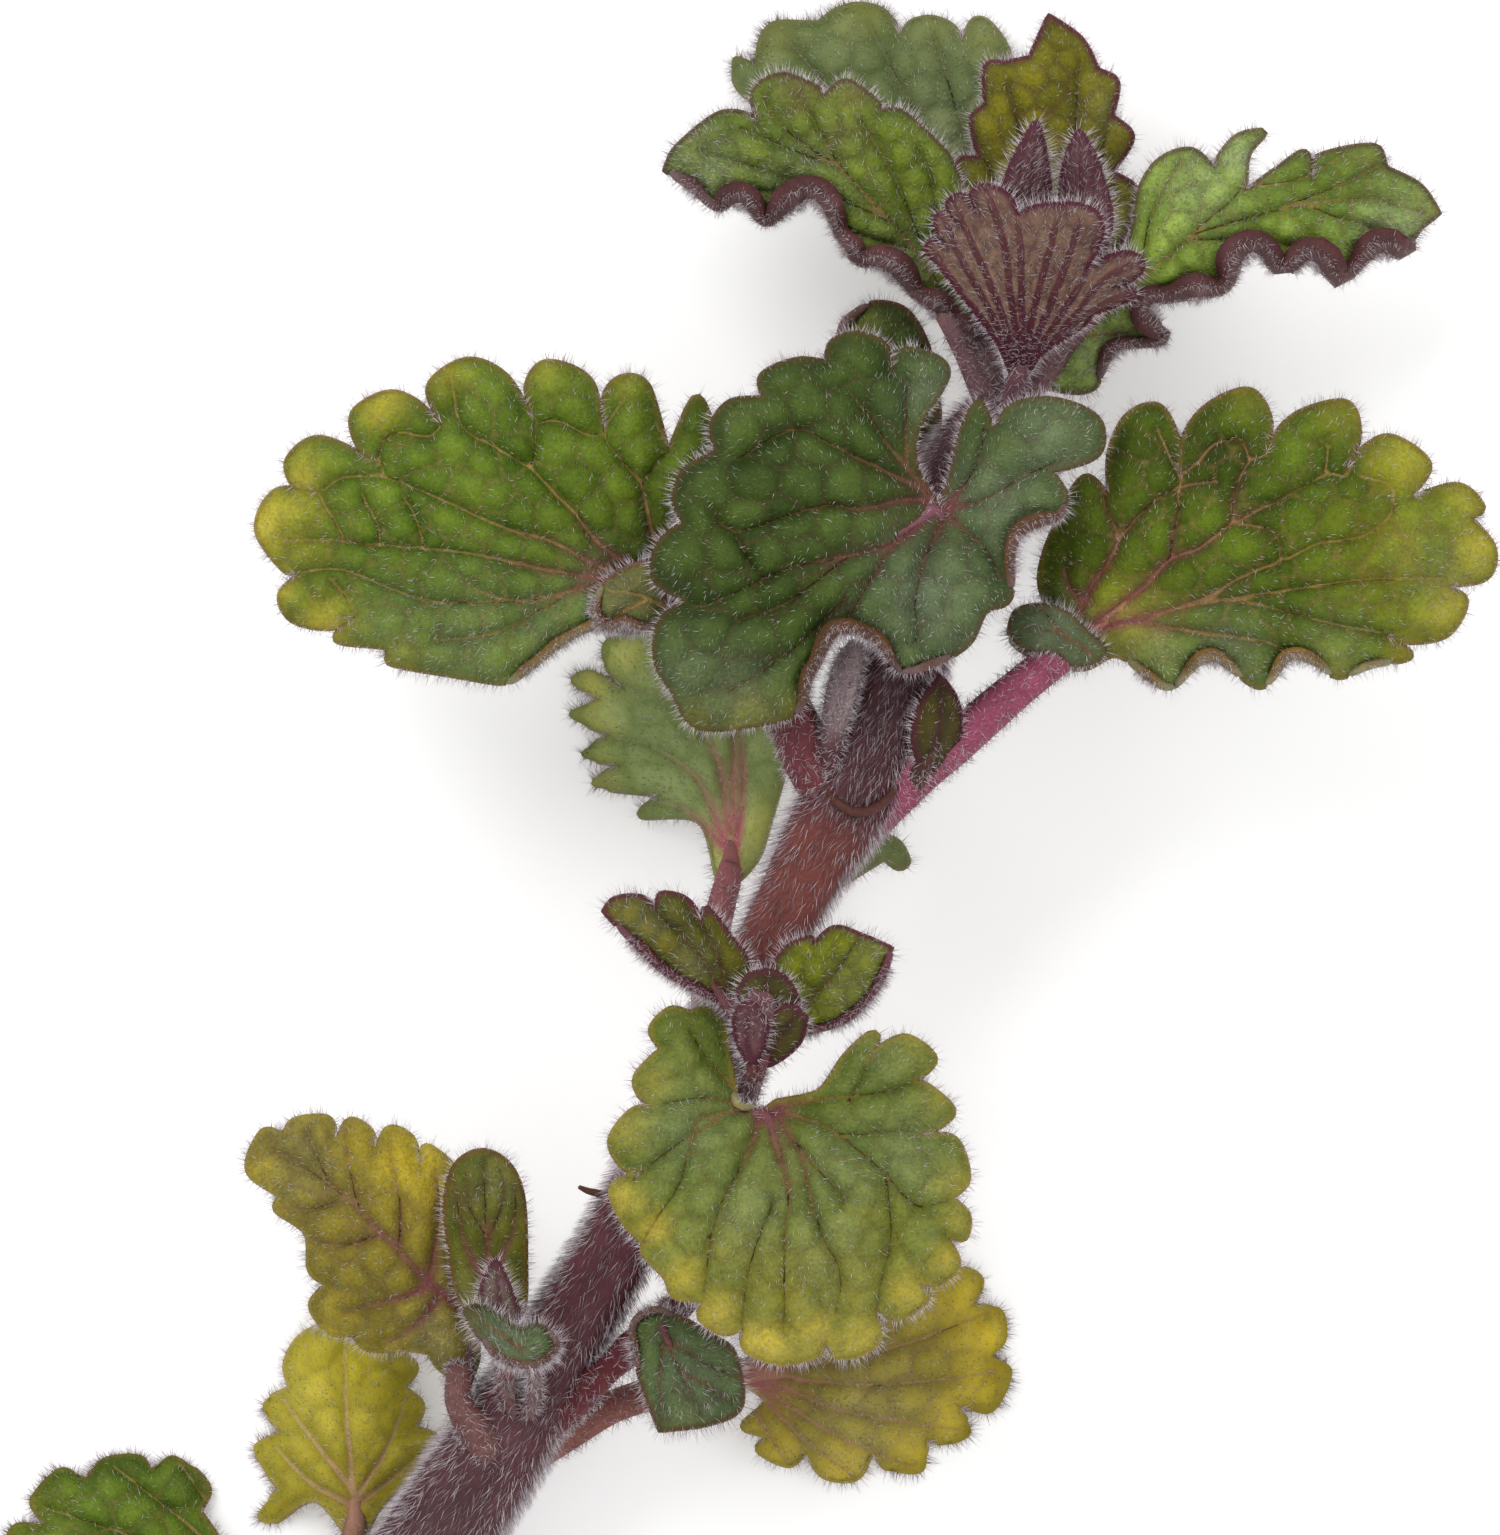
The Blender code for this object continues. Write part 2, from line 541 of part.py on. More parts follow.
def sheet(name, outline, heights, thickness, grid, collection):
    """A bent leaf blade: the outline filled, bent to its heights and given
    thickness. Where it would dip under the surface it lies flat on it."""
    flat = coarse(outline, 17)
    height = surface(heights)
    us, vs = [p[0] for p in flat], [p[1] for p in flat]
    pts = [Vector(p) for p in flat]
    n = len(pts)
    row = 0
    v = min(vs) + grid * 0.6
    while v < max(vs):
        u = min(us) + grid * (0.5 if row % 2 else 1.0)
        while u < max(us):
            q = Vector((u, v))
            inside, clear = False, True
            for i in range(n):
                a, b = pts[i], pts[(i + 1) % n]
                if (a.y > v) != (b.y > v):
                    if u < (b.x - a.x) * (v - a.y) / (b.y - a.y) + a.x:
                        inside = not inside
                t = max(0.0, min(1.0, (q - a).dot(b - a) / max((b - a).length_squared, 1e-9)))
                if (a + (b - a) * t - q).length < grid * 0.42:
                    clear = False
            if inside and clear:
                pts.append(q)
            u += grid
        v += grid * 0.87
        row += 1
    verts, _, faces, *_ = delaunay_2d_cdt(
        pts, [], [list(range(n))], 1, 1e-4)
    bm = bmesh.new()
    low = thickness / MM / 2
    made = [bm.verts.new(place(p.x, p.y, max(low, height(p.x, p.y)))) for p in verts]
    for f in faces:
        bm.faces.new([made[i] for i in f])
    bmesh.ops.recalc_face_normals(bm, faces=bm.faces)
    for f in bm.faces:
        f.normal_update()
    if sum(f.normal.z * f.calc_area() for f in bm.faces) < 0:
        bmesh.ops.reverse_faces(bm, faces=bm.faces)
    mesh = bpy.data.meshes.new(name)
    bm.to_mesh(mesh)
    bm.free()
    ob = bpy.data.objects.new(name, mesh)
    collection.objects.link(ob)
    shell = ob.modifiers.new("thickness", "SOLIDIFY")
    shell.thickness = thickness
    shell.offset = 0.0
    ob = as_mesh(ob, collection)
    for vert in ob.data.vertices:
        if vert.co.z < FLAT:
            vert.co.z = 0.0
    return ob


def join(ob, other, collection):
    """The union of two solids, as one mesh object."""
    m = ob.modifiers.new("join", "BOOLEAN")
    m.operation = "UNION"
    m.object = other
    m.solver = "EXACT"
    out = as_mesh(ob, collection)
    bpy.data.objects.remove(other)
    return out


# ---------------------------------------------------------------- build
for old in list(bpy.data.objects):
    bpy.data.objects.remove(old, do_unlink=True)

shoot = bpy.data.collections.new("catmint_shoot")
bpy.context.scene.collection.children.link(shoot)
anchor = bpy.data.objects.new("catmint_shoot_origin", None)
shoot.objects.link(anchor)


def settle(ob, colour, roughness, at):
    """Give the piece its finish and put its origin where it grows from."""
    ob.data.materials.clear()
    ob.data.materials.append(material(ob.name + "_finish", colour, roughness))
    base = place(*at)
    for vert in ob.data.vertices:
        vert.co -= base
    ob.location = base
    ob.parent = anchor
    ob.data.shade_smooth()
    ob.data.set_sharp_from_angle(angle=math.radians(40))
    return ob


stem = as_mesh(tube("stem", STEM_AXIS, 2, shoot), shoot)
for vert in stem.data.vertices:
    if vert.co.z < FLAT:
        vert.co.z = 0.0
settle(stem, STEM, 0.7, STEM_AXIS[0][:3])

for name, leaf in LEAVES.items():
    blade = sheet(name, leaf["outline"], leaf["heights"], BLADE, 46.0, shoot)
    if leaf["stalk"]:
        stalk = as_mesh(tube(name + "_stalk", leaf["stalk"], PETIOLE_SIDES, shoot), shoot)
        blade = join(blade, stalk, shoot)
        blade.name = name
    at = leaf["stalk"][0][:3] if leaf["stalk"] else leaf["heights"][0]
    settle(blade, leaf["colour"], 0.8, at)

for name, bud in BUDS.items():
    ob = as_mesh(tube(name, bud["axis"], 1, shoot), shoot)
    settle(ob, bud["colour"], 0.85, bud["axis"][0][:3])
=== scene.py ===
"""The looks of a cut catmint shoot that lies on a pale surface: quilted, downy
leaves, a woolly maroon stem, small shoots and buds.

Outlines, veins and stalk axes are drawn in plan, 30 drawing units to a
millimetre, u to the right and v down the sheet, as seen from EYE above the
surface. Heights above the surface are in millimetres. A third number 1 marks a
sharp notch or point of an outline.
"""
import math

import bpy
import numpy as np
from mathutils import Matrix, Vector
from mathutils.geometry import delaunay_2d_cdt


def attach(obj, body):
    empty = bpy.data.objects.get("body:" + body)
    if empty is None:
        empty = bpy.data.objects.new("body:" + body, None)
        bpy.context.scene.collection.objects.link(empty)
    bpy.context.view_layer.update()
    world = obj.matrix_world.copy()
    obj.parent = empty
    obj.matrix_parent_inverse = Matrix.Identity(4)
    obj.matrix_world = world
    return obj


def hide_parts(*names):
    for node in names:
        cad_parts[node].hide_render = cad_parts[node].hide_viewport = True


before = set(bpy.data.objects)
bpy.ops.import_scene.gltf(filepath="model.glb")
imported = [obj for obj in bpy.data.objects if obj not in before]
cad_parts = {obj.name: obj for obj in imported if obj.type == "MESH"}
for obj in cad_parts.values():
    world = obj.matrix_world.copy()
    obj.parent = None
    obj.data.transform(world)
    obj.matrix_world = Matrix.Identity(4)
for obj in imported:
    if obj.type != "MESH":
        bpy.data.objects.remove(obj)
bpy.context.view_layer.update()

MM = 0.001
UNIT = MM / 30.0
EYE = 0.500
LEVEL = 0.010
EYE_U, EYE_V = 750.0, 767.5
EYE_X, EYE_Y = 0.0002774, 0.0031085

# ------------------------------------------------------------------ the camera
cam_data = bpy.data.cameras.new("camera")
cam_data.sensor_fit = "HORIZONTAL"
cam_data.sensor_width = 36.0
cam_data.lens = 36.0 * (EYE - LEVEL) / (1500 * UNIT)
cam_data.clip_start = 0.01
cam_data.clip_end = 20.0
camera = bpy.data.objects.new("camera", cam_data)
camera.location = (EYE_X, EYE_Y, EYE)
bpy.context.scene.collection.objects.link(camera)
bpy.context.scene.camera = camera


def srgb(r, g, b):
    """A colour given in everyday 0-255 values, as linear light."""
    c = np.array([r, g, b], float) / 255.0
    return np.where(c <= 0.04045, c / 12.92, ((c + 0.055) / 1.055) ** 2.4)


def place(u, v, z):
    """Drawing points at heights in millimetres, as positions in metres."""
    u, v, z = (np.asarray(a, float) for a in (u, v, z))
    zm = z * MM
    s = UNIT * (EYE - zm) / (EYE - LEVEL)
    return np.stack([EYE_X + (u - EYE_U) * s, EYE_Y + (EYE_V - v) * s, zm], -1)


# ------------------------------------------------------------------ the finish
# colours: deep and light green of the quilting (mixed with random mottling, and as painted shade in its creases
# and painted light on its domes), tip, vein, rim, underside
GREEN = dict(deep=srgb(68, 90, 26), light=srgb(122, 142, 54), tip=srgb(204, 190, 78),
             vein=srgb(172, 142, 88), rim=srgb(128, 102, 62), under=srgb(150, 150, 118),
             down=srgb(150, 160, 128))
RIGHT = dict(GREEN, deep=srgb(62, 80, 14), light=srgb(112, 132, 44))
DARK = dict(deep=srgb(48, 64, 24), light=srgb(90, 108, 50), tip=srgb(150, 146, 60),
            vein=srgb(116, 84, 62), rim=srgb(98, 70, 50), under=srgb(120, 98, 98),
            down=srgb(142, 154, 128))
FAN = dict(deep=srgb(88, 104, 40), light=srgb(128, 138, 72), tip=srgb(206, 186, 86),
           vein=srgb(128, 104, 60), rim=srgb(150, 128, 66), under=srgb(150, 150, 118),
           down=srgb(158, 166, 126))
YELLOW = dict(deep=srgb(116, 104, 44), light=srgb(162, 146, 62), tip=srgb(202, 180, 70),
              vein=srgb(150, 118, 88), rim=srgb(150, 136, 70), under=srgb(170, 160, 110),
              down=srgb(160, 156, 120))
PALE = dict(deep=srgb(150, 140, 52), light=srgb(192, 178, 80), tip=srgb(210, 194, 66),
            vein=srgb(190, 160, 122), rim=srgb(176, 160, 96), under=srgb(190, 180, 130),
            down=srgb(190, 184, 140))
BACK = dict(deep=srgb(92, 106, 62), light=srgb(128, 138, 92), tip=srgb(160, 156, 84),
            vein=srgb(128, 116, 92), rim=srgb(130, 124, 88), under=srgb(150, 150, 128),
            down=srgb(156, 164, 134))
CROWN = dict(deep=srgb(80, 96, 34), light=srgb(124, 138, 56), tip=srgb(110, 84, 66),
             vein=srgb(122, 98, 62), rim=srgb(90, 58, 58), under=srgb(128, 110, 110),
             down=srgb(152, 162, 134))
OLIVE = dict(deep=srgb(80, 78, 26), light=srgb(128, 122, 40), tip=srgb(96, 60, 50),
             vein=srgb(96, 66, 44), rim=srgb(92, 46, 54), under=srgb(124, 84, 92),
             down=srgb(142, 140, 110))
PURPLE = dict(deep=srgb(98, 70, 64), light=srgb(138, 112, 94), tip=srgb(112, 62, 70),
              vein=srgb(74, 24, 42), rim=srgb(84, 34, 50), under=srgb(96, 98, 60),
              down=srgb(172, 158, 158))
BUD = dict(deep=srgb(92, 60, 64), light=srgb(120, 88, 90), tip=srgb(110, 62, 70),
           vein=srgb(78, 38, 48), rim=srgb(84, 42, 54), under=srgb(110, 84, 84),
           down=srgb(176, 162, 164))


# ------------------------------------------------------------------ geometry
def smooth_line(points, step, closed=False):
    """A smooth curve through the points (rows of numbers, u and v first),
    resampled at about step. Points whose flag is 1 stay sharp."""
    flags = [len(p) == 3 and closed for p in points]
    p = np.array([q[:2] for q in points] if closed else points, float)
    n = len(p)
    out = []
    for i in range(n if closed else n - 1):
        j = (i + 1) % n
        a, b = p[i], p[j]
        before = p[i - 1] if (closed or i > 0) else 2 * a - b
        after = p[(j + 1) % n] if (closed or j + 1 < n) else 2 * b - a
        ta = (b - a) if flags[i] else (b - before) / 2
        tb = (b - a) if flags[j] else (after - a) / 2
        d = np.linalg.norm((b - a)[:2])
        for t, other in ((ta, d), (tb, d)):
            m = np.linalg.norm(t[:2])
            if m > 1.25 * d:
                t *= 1.25 * d / m
        k = max(1, int(round(d / step)))
        s = np.linspace(0, 1, k, endpoint=False)[:, None]
        h = ((2 * s**3 - 3 * s**2 + 1) * a + (s**3 - 2 * s**2 + s) * ta
             + (-2 * s**3 + 3 * s**2) * b + (s**3 - s**2) * tb)
        out.append(h)
    if not closed:
        out.append(p[-1:])
    return np.concatenate(out)


def surface(points):
    """A smooth sheet through the points (u, v, mm): a thin plate, bent least."""
    p = np.array(points, float)
    xy, z = p[:, :2] / 100.0, p[:, 2]
    n = len(p)
    d = np.linalg.norm(xy[:, None] - xy[None], axis=2)
    k = np.where(d > 0, d * d * np.log(np.maximum(d, 1e-9)), 0.0)
    a = np.zeros((n + 3, n + 3))
    a[:n, :n] = k + np.eye(n) * 0.02
    a[:n, n] = 1
    a[:n, n + 1:] = xy
    a[n:, :n] = a[:n, n:].T
    w = np.linalg.lstsq(a, np.concatenate([z, np.zeros(3)]), rcond=None)[0]

    def height(uv):
        q = np.asarray(uv, float) / 100.0
        r = np.linalg.norm(q[:, None] - xy[None], axis=2)
        f = np.where(r > 0, r * r * np.log(np.maximum(r, 1e-9)), 0.0)
        return f @ w[:n] + w[n] + q @ w[n + 1:]
    return height


def to_line(q, line, widths=None):
    """Distance of points q to a polyline, and where along it, from 0 to 1."""
    a, b = line[:-1], line[1:]
    ab = b - a
    t = np.clip(((q[:, None] - a[None]) * ab[None]).sum(2) / np.maximum((ab**2).sum(1), 1e-9), 0, 1)
    d = np.linalg.norm(a[None] + t[..., None] * ab[None] - q[:, None], axis=2)
    i = d.argmin(1)
    rows = np.arange(len(q))
    return d[rows, i], (i + t[rows, i]) / len(a)


def inside(q, poly):
    """Which of the points q lie in the closed outline poly."""
    x, y = q[:, 0], q[:, 1]
    hit = np.zeros(len(q), bool)
    x1, y1 = poly[:, 0], poly[:, 1]
    x2, y2 = np.roll(x1, -1), np.roll(y1, -1)
    for a, b, c, d in zip(x1, y1, x2, y2):
        if b == d:
            continue
        cross = ((b > y) != (d > y)) & (x < (c - a) * (y - b) / (d - b) + a)
        hit ^= cross
    return hit


def noise(q, scale, seed):
    """Smooth value noise over points with any number of columns, about -1 to 1."""
    q = np.asarray(q, float) / scale
    base = np.floor(q).astype(np.int64)
    f = q - base
    f = f * f * (3 - 2 * f)
    dims = q.shape[1]
    total = np.zeros(len(q))
    for corner in range(2 ** dims):
        w = np.ones(len(q))
        h = np.full(len(q), seed * 7919 + 17, np.int64)
        for k in range(dims):
            bit = (corner >> k) & 1
            w *= f[:, k] if bit else 1 - f[:, k]
            h = (h * 374761393 + (base[:, k] + bit) * 668265263) & 0x7FFFFFFF
            h ^= h >> 13
        h = (h * 1274126177) & 0x7FFFFFFF
        h ^= h >> 16
        total += w * ((h & 0xFFFF) / 32767.5 - 1)
    return total


def blur_step(x, lo, hi):
    t = np.clip((x - lo) / (hi - lo), 0, 1)
    return t * t * (3 - 2 * t)


def mix(a, b, t):
    return a + (b - a) * np.asarray(t)[..., None]


def vertex_normals(p, tris):
    fn = np.cross(p[tris[:, 1]] - p[tris[:, 0]], p[tris[:, 2]] - p[tris[:, 0]])
    n = np.zeros_like(p)
    for k in range(3):
        np.add.at(n, tris[:, k], fn)
    return n / np.maximum(np.linalg.norm(n, axis=1, keepdims=True), 1e-30)


def tissue(c):
    """Fresh tissue is a little deeper and stronger in colour than it looks lit."""
    lum = (c @ np.array([0.2126, 0.7152, 0.0722]))[..., None]
    return np.clip((lum + (c - lum) * SATURATION) * DEPTH, 0.001, 1)


SATURATION, DEPTH = 1.08, 0.80


def make_mesh(name, verts, tris, tint=None, slots=None, smooth=True):
    me = bpy.data.meshes.new(name)
    me.vertices.add(len(verts))
    me.vertices.foreach_set("co", np.ascontiguousarray(verts, np.float32).ravel())
    me.loops.add(len(tris) * 3)
    me.loops.foreach_set("vertex_index", np.ascontiguousarray(tris, np.int32).ravel())
    me.polygons.add(len(tris))
    me.polygons.foreach_set("loop_start", np.arange(0, len(tris) * 3, 3, dtype=np.int32))
    if slots is not None:
        me.polygons.foreach_set("material_index", np.ascontiguousarray(slots, np.int32))
    me.update(calc_edges=True)
    me.validate()
    if smooth:
        me.shade_smooth()
    if tint is not None:
        layer = me.attributes.new("tint", "FLOAT_COLOR", "POINT")
        rgba = np.ones((len(verts), 4), np.float32)
        rgba[:, :3] = tissue(tint)
        layer.data.foreach_set("color", rgba.ravel())
    ob = bpy.data.objects.new(name, me)
    bpy.context.scene.collection.objects.link(ob)
    return ob


# ------------------------------------------------------------------ materials
def skin_material(name, rough, grain, bump, sheen, scatter, tone=0.10):
    """Tissue: the drawn tint, mottled, with a fine grain in gloss and relief."""
    m = bpy.data.materials.new(name)
    m.use_nodes = True
    nt = m.node_tree
    b = nt.nodes["Principled BSDF"]
    at = nt.nodes.new("ShaderNodeAttribute")
    at.attribute_name = "tint"
    co = nt.nodes.new("ShaderNodeTexCoord")
    n1 = nt.nodes.new("ShaderNodeTexNoise")
    n1.inputs["Scale"].default_value = grain
    n1.inputs["Detail"].default_value = 4.0
    n1.inputs["Roughness"].default_value = 0.6
    n2 = nt.nodes.new("ShaderNodeTexNoise")
    n2.inputs["Scale"].default_value = grain * 0.22
    n2.inputs["Detail"].default_value = 2.0
    nt.links.new(co.outputs["Object"], n1.inputs["Vector"])
    nt.links.new(co.outputs["Object"], n2.inputs["Vector"])
    r1 = nt.nodes.new("ShaderNodeMapRange")
    r1.inputs["From Min"].default_value = 0.3
    r1.inputs["From Max"].default_value = 0.7
    r1.inputs["To Min"].default_value = 1 - tone * 1.6
    r1.inputs["To Max"].default_value = 1 + tone * 1.6
    nt.links.new(n1.outputs["Fac"], r1.inputs["Value"])
    r2 = nt.nodes.new("ShaderNodeMapRange")
    r2.inputs["From Min"].default_value = 0.3
    r2.inputs["From Max"].default_value = 0.7
    r2.inputs["To Min"].default_value = 1 - tone
    r2.inputs["To Max"].default_value = 1 + tone
    nt.links.new(n2.outputs["Fac"], r2.inputs["Value"])
    mul = nt.nodes.new("ShaderNodeMath")
    mul.operation = "MULTIPLY"
    nt.links.new(r1.outputs["Result"], mul.inputs[0])
    nt.links.new(r2.outputs["Result"], mul.inputs[1])
    sc = nt.nodes.new("ShaderNodeVectorMath")
    sc.operation = "SCALE"
    nt.links.new(at.outputs["Color"], sc.inputs[0])
    nt.links.new(mul.outputs["Value"], sc.inputs["Scale"])
    nt.links.new(sc.outputs["Vector"], b.inputs["Base Color"])
    rr = nt.nodes.new("ShaderNodeMapRange")
    rr.inputs["From Min"].default_value = 0.3
    rr.inputs["From Max"].default_value = 0.7
    rr.inputs["To Min"].default_value = rough - 0.08
    rr.inputs["To Max"].default_value = rough + 0.10
    nt.links.new(n1.outputs["Fac"], rr.inputs["Value"])
    nt.links.new(rr.outputs["Result"], b.inputs["Roughness"])
    bp = nt.nodes.new("ShaderNodeBump")
    bp.inputs["Strength"].default_value = bump
    bp.inputs["Distance"].default_value = 0.00009
    nt.links.new(n1.outputs["Fac"], bp.inputs["Height"])
    nt.links.new(bp.outputs["Normal"], b.inputs["Normal"])
    b.inputs["Specular IOR Level"].default_value = 0.12
    b.inputs["Sheen Weight"].default_value = sheen
    b.inputs["Sheen Roughness"].default_value = 0.5
    b.inputs["Sheen Tint"].default_value = (0.85, 0.9, 0.8, 1.0)
    if scatter:
        b.inputs["Subsurface Weight"].default_value = scatter
        b.inputs["Subsurface Radius"].default_value = (0.4, 0.6, 0.15)
        b.inputs["Subsurface Scale"].default_value = 0.0006
    return m


def plain_material(name, colour, rough, through=0.0):
    m = bpy.data.materials.new(name)
    m.use_nodes = True
    b = m.node_tree.nodes["Principled BSDF"]
    b.inputs["Base Color"].default_value = (*colour, 1.0)
    b.inputs["Roughness"].default_value = rough
    b.inputs["Specular IOR Level"].default_value = 0.4
    return m


BLADE_SKIN = skin_material("leaf_skin", 0.50, 8000.0, 0.8, 0.0, 0.0, 0.14)
SOFT_SKIN = skin_material("soft_skin", 0.60, 9000.0, 0.4, 0.0, 0.0, 0.06)
STEM_SKIN = skin_material("stem_skin", 0.48, 6000.0, 0.6, 0.0, 0.0)
DOWN = [plain_material("down_silver", srgb(226, 216, 220), 0.4),
        plain_material("down_pearl", srgb(188, 174, 180), 0.4),
        plain_material("down_grey", srgb(146, 126, 132), 0.45),
        plain_material("down_leaf", srgb(138, 152, 112), 0.45)]


# ------------------------------------------------------------------ the down
made_tris = {}


def down(name, roots, out, lean, length, radius, rng, curved=True, mats=None, slot=None):
    """Fine tapering hairs as closed slivers: root points, directions they grow
    in, directions they lean over to, lengths and radii in metres."""
    n = len(roots)
    if not n:
        return None
    out = out / np.maximum(np.linalg.norm(out, axis=1, keepdims=True), 1e-12)
    helper = rng.normal(size=(n, 3))
    s1 = np.cross(out, helper)
    s1 /= np.maximum(np.linalg.norm(s1, axis=1, keepdims=True), 1e-12)
    s2 = np.cross(out, s1)
    length = np.asarray(length)[:, None]
    radius = np.asarray(radius)[:, None]
    root = roots - out * radius * 1.5
    ang = [0.0, 2 * math.pi / 3, 4 * math.pi / 3]
    ring = [s1 * math.cos(a) + s2 * math.sin(a) for a in ang]
    if curved:
        mid = root + out * length * 0.55 + lean * length * 0.12
        tip = root + out * length * 0.80 + lean * length * 0.62
        v = np.stack([root + r * radius for r in ring]
                     + [mid + r * radius * 0.75 for r in ring] + [tip], 1)
        f = np.array([(0, 2, 1), (0, 1, 4), (0, 4, 3), (1, 2, 5), (1, 5, 4),
                      (2, 0, 3), (2, 3, 5), (3, 4, 6), (4, 5, 6), (5, 3, 6)])
    else:
        tip = root + (out + lean * 0.5) * length * 0.9
        v = np.stack([root + r * radius for r in ring] + [tip], 1)
        f = np.array([(0, 2, 1), (0, 1, 3), (1, 2, 3), (2, 0, 3)])
    k = v.shape[1]
    # keep every sliver the right way out
    volume = np.einsum("ij,ij->i", np.cross(v[:, 1] - v[:, 0], v[:, 2] - v[:, 0]), v[:, -1] - v[:, 0])
    tris = (f[None] + (np.arange(n) * k)[:, None, None])
    flip = volume < 0
    tris[flip] = tris[flip][:, :, ::-1]
    tris = tris.reshape(-1, 3)
    verts = v.reshape(-1, 3)
    verts[:, 2] = np.maximum(verts[:, 2], 0.00002)
    if slot is None:
        slot = (0.40, 0.35, 0.25, 0.0)
    tone = np.repeat(rng.choice(4, n, p=slot), len(f))
    ob = make_mesh(name, verts, tris, slots=tone, smooth=False)
    for m in (mats or DOWN):
        ob.data.materials.append(m)
    made_tris[name] = len(tris)
    return ob


def scatter(verts, tris, weight, count, rng):
    """count random points on the triangles, more where weight is greater."""
    a, b, c = verts[tris[:, 0]], verts[tris[:, 1]], verts[tris[:, 2]]
    cr = np.cross(b - a, c - a)
    area = np.linalg.norm(cr, axis=1) / 2
    w = area * weight
    if w.sum() <= 0 or count < 1:
        return np.zeros((0, 3)), np.zeros((0, 3)), np.zeros(0, int)
    pick = rng.choice(len(tris), int(count), p=w / w.sum())
    r = rng.random((len(pick), 2))
    s = np.sqrt(r[:, :1])
    p = a[pick] * (1 - s) + b[pick] * s * (1 - r[:, 1:]) + c[pick] * s * r[:, 1:]
    nn = cr[pick] / np.maximum(2 * area[pick][:, None], 1e-30)
    return p, nn, pick


# ------------------------------------------------------------------ leaves
def auto_veins(base, outline, reach=0.93):
    """Veins from the blade's base to the tips of its lobes."""
    sharp = [i for i, p in enumerate(outline) if len(p) == 3]
    if len(sharp) < 2:
        sharp = list(range(0, len(outline), 3))
    lines = []
    base = np.array(base, float)
    n = len(outline)
    for a, b in zip(sharp, sharp[1:] + [sharp[0] + n]):
        mid = [outline[k % n][:2] for k in range(a + 1, b)]
        if not mid:
            continue
        tip = np.array(mid[len(mid) // 2], float)
        end = base + (tip - base) * reach
        side = np.array([-(end - base)[1], (end - base)[0]]) * 0.05
        lines.append([tuple(base), tuple((base + end) / 2 + side), tuple(end)])
    return lines


def curl_at(q, spots):
    """How strongly the margin rolls at points q: spots of (u, v, reach, amount)."""
    w = np.zeros(len(q))
    for (u, v, reach, amount) in spots:
        d2 = ((q - np.array([u, v], float)) ** 2).sum(1)
        g = amount * np.exp(-d2 / (reach * reach))
        w = np.where(np.abs(g) > np.abs(w), g, w)
    return w


def spots_mask(q, spots):
    m = np.zeros(len(q))
    for (u, v, reach, amount) in spots:
        d2 = ((q - np.array([u, v], float)) ** 2).sum(1)
        m = np.maximum(m, amount * np.exp(-d2 / (reach * reach)))
    return np.clip(m, 0, 1)


def tube_shell(axis, sides, square, seed, step=5.0, ridge=0.0):
    """A closed stalk along (u, v, mm, radius in units): points, triangles,
    place along it (0 to 1) and angle round it."""
    line = smooth_line(axis, step)
    centre = place(line[:, 0], line[:, 1], line[:, 2])
    radius = line[:, 3] * UNIT
    t = np.gradient(centre, axis=0)
    t /= np.linalg.norm(t, axis=1, keepdims=True)
    up = np.array([0.0, 0.0, 1.0])
    s1 = np.cross(t, up)
    s1 /= np.maximum(np.linalg.norm(s1, axis=1, keepdims=True), 1e-9)
    s2 = np.cross(s1, t)
    phi = np.linspace(0, 2 * math.pi, sides, endpoint=False)
    n = len(line)
    along = np.linspace(0, 1, n)
    r = 1 + square * np.cos(4 * phi + math.pi)[None, :] * np.ones((n, 1))
    if ridge:
        rows = np.repeat(np.cumsum(np.r_[0, np.linalg.norm(np.diff(line[:, :2], axis=0), axis=1)]), sides)
        cols = np.tile(np.stack([np.cos(phi), np.sin(phi)], 1), (n, 1)) * 40
        q = np.concatenate([rows[:, None] * 0.12, cols], 1)
        r = r + ridge * (noise(q, 9.0, seed) + 0.6 * noise(q, 4.5, seed + 3)).reshape(n, sides)
    p = (centre[:, None] + radius[:, None, None] * r[..., None]
         * (np.cos(phi)[None, :, None] * s1[:, None] + np.sin(phi)[None, :, None] * s2[:, None]))
    p = p.reshape(-1, 3)
    i = np.arange(n - 1)[:, None] * sides
    j = np.arange(sides)[None, :]
    k = (j + 1) % sides
    a, b, c, d = i + j, i + k, i + sides + k, i + sides + j
    tris = np.concatenate([np.stack([a, b, c], -1).reshape(-1, 3), np.stack([a, c, d], -1).reshape(-1, 3)])
    verts = np.concatenate([p, centre[:1] - t[:1] * radius[0] * 0.1, centre[-1:] + t[-1:] * radius[-1] * 0.5])
    lo, hi = n * sides, n * sides + 1
    jj = np.arange(sides)
    kk = (jj + 1) % sides
    first = np.stack([np.full(sides, lo), kk, jj], 1)
    last = np.stack([np.full(sides, hi), (n - 1) * sides + jj, (n - 1) * sides + kk], 1)
    tris = np.concatenate([tris, first, last])
    al = np.concatenate([np.repeat(along, sides), [0.0, 1.0]])
    an = np.concatenate([np.tile(phi, n), [0.0, 0.0]])
    # outward facing
    vol = np.einsum("ij,ij->i", verts[tris[:, 0]], np.cross(verts[tris[:, 1]], verts[tris[:, 2]])).sum()
    if vol < 0:
        tris = tris[:, ::-1]
    dirs = np.concatenate([np.repeat(t, sides, axis=0), t[:1], t[-1:]])
    return verts, tris, al, an, dirs, line


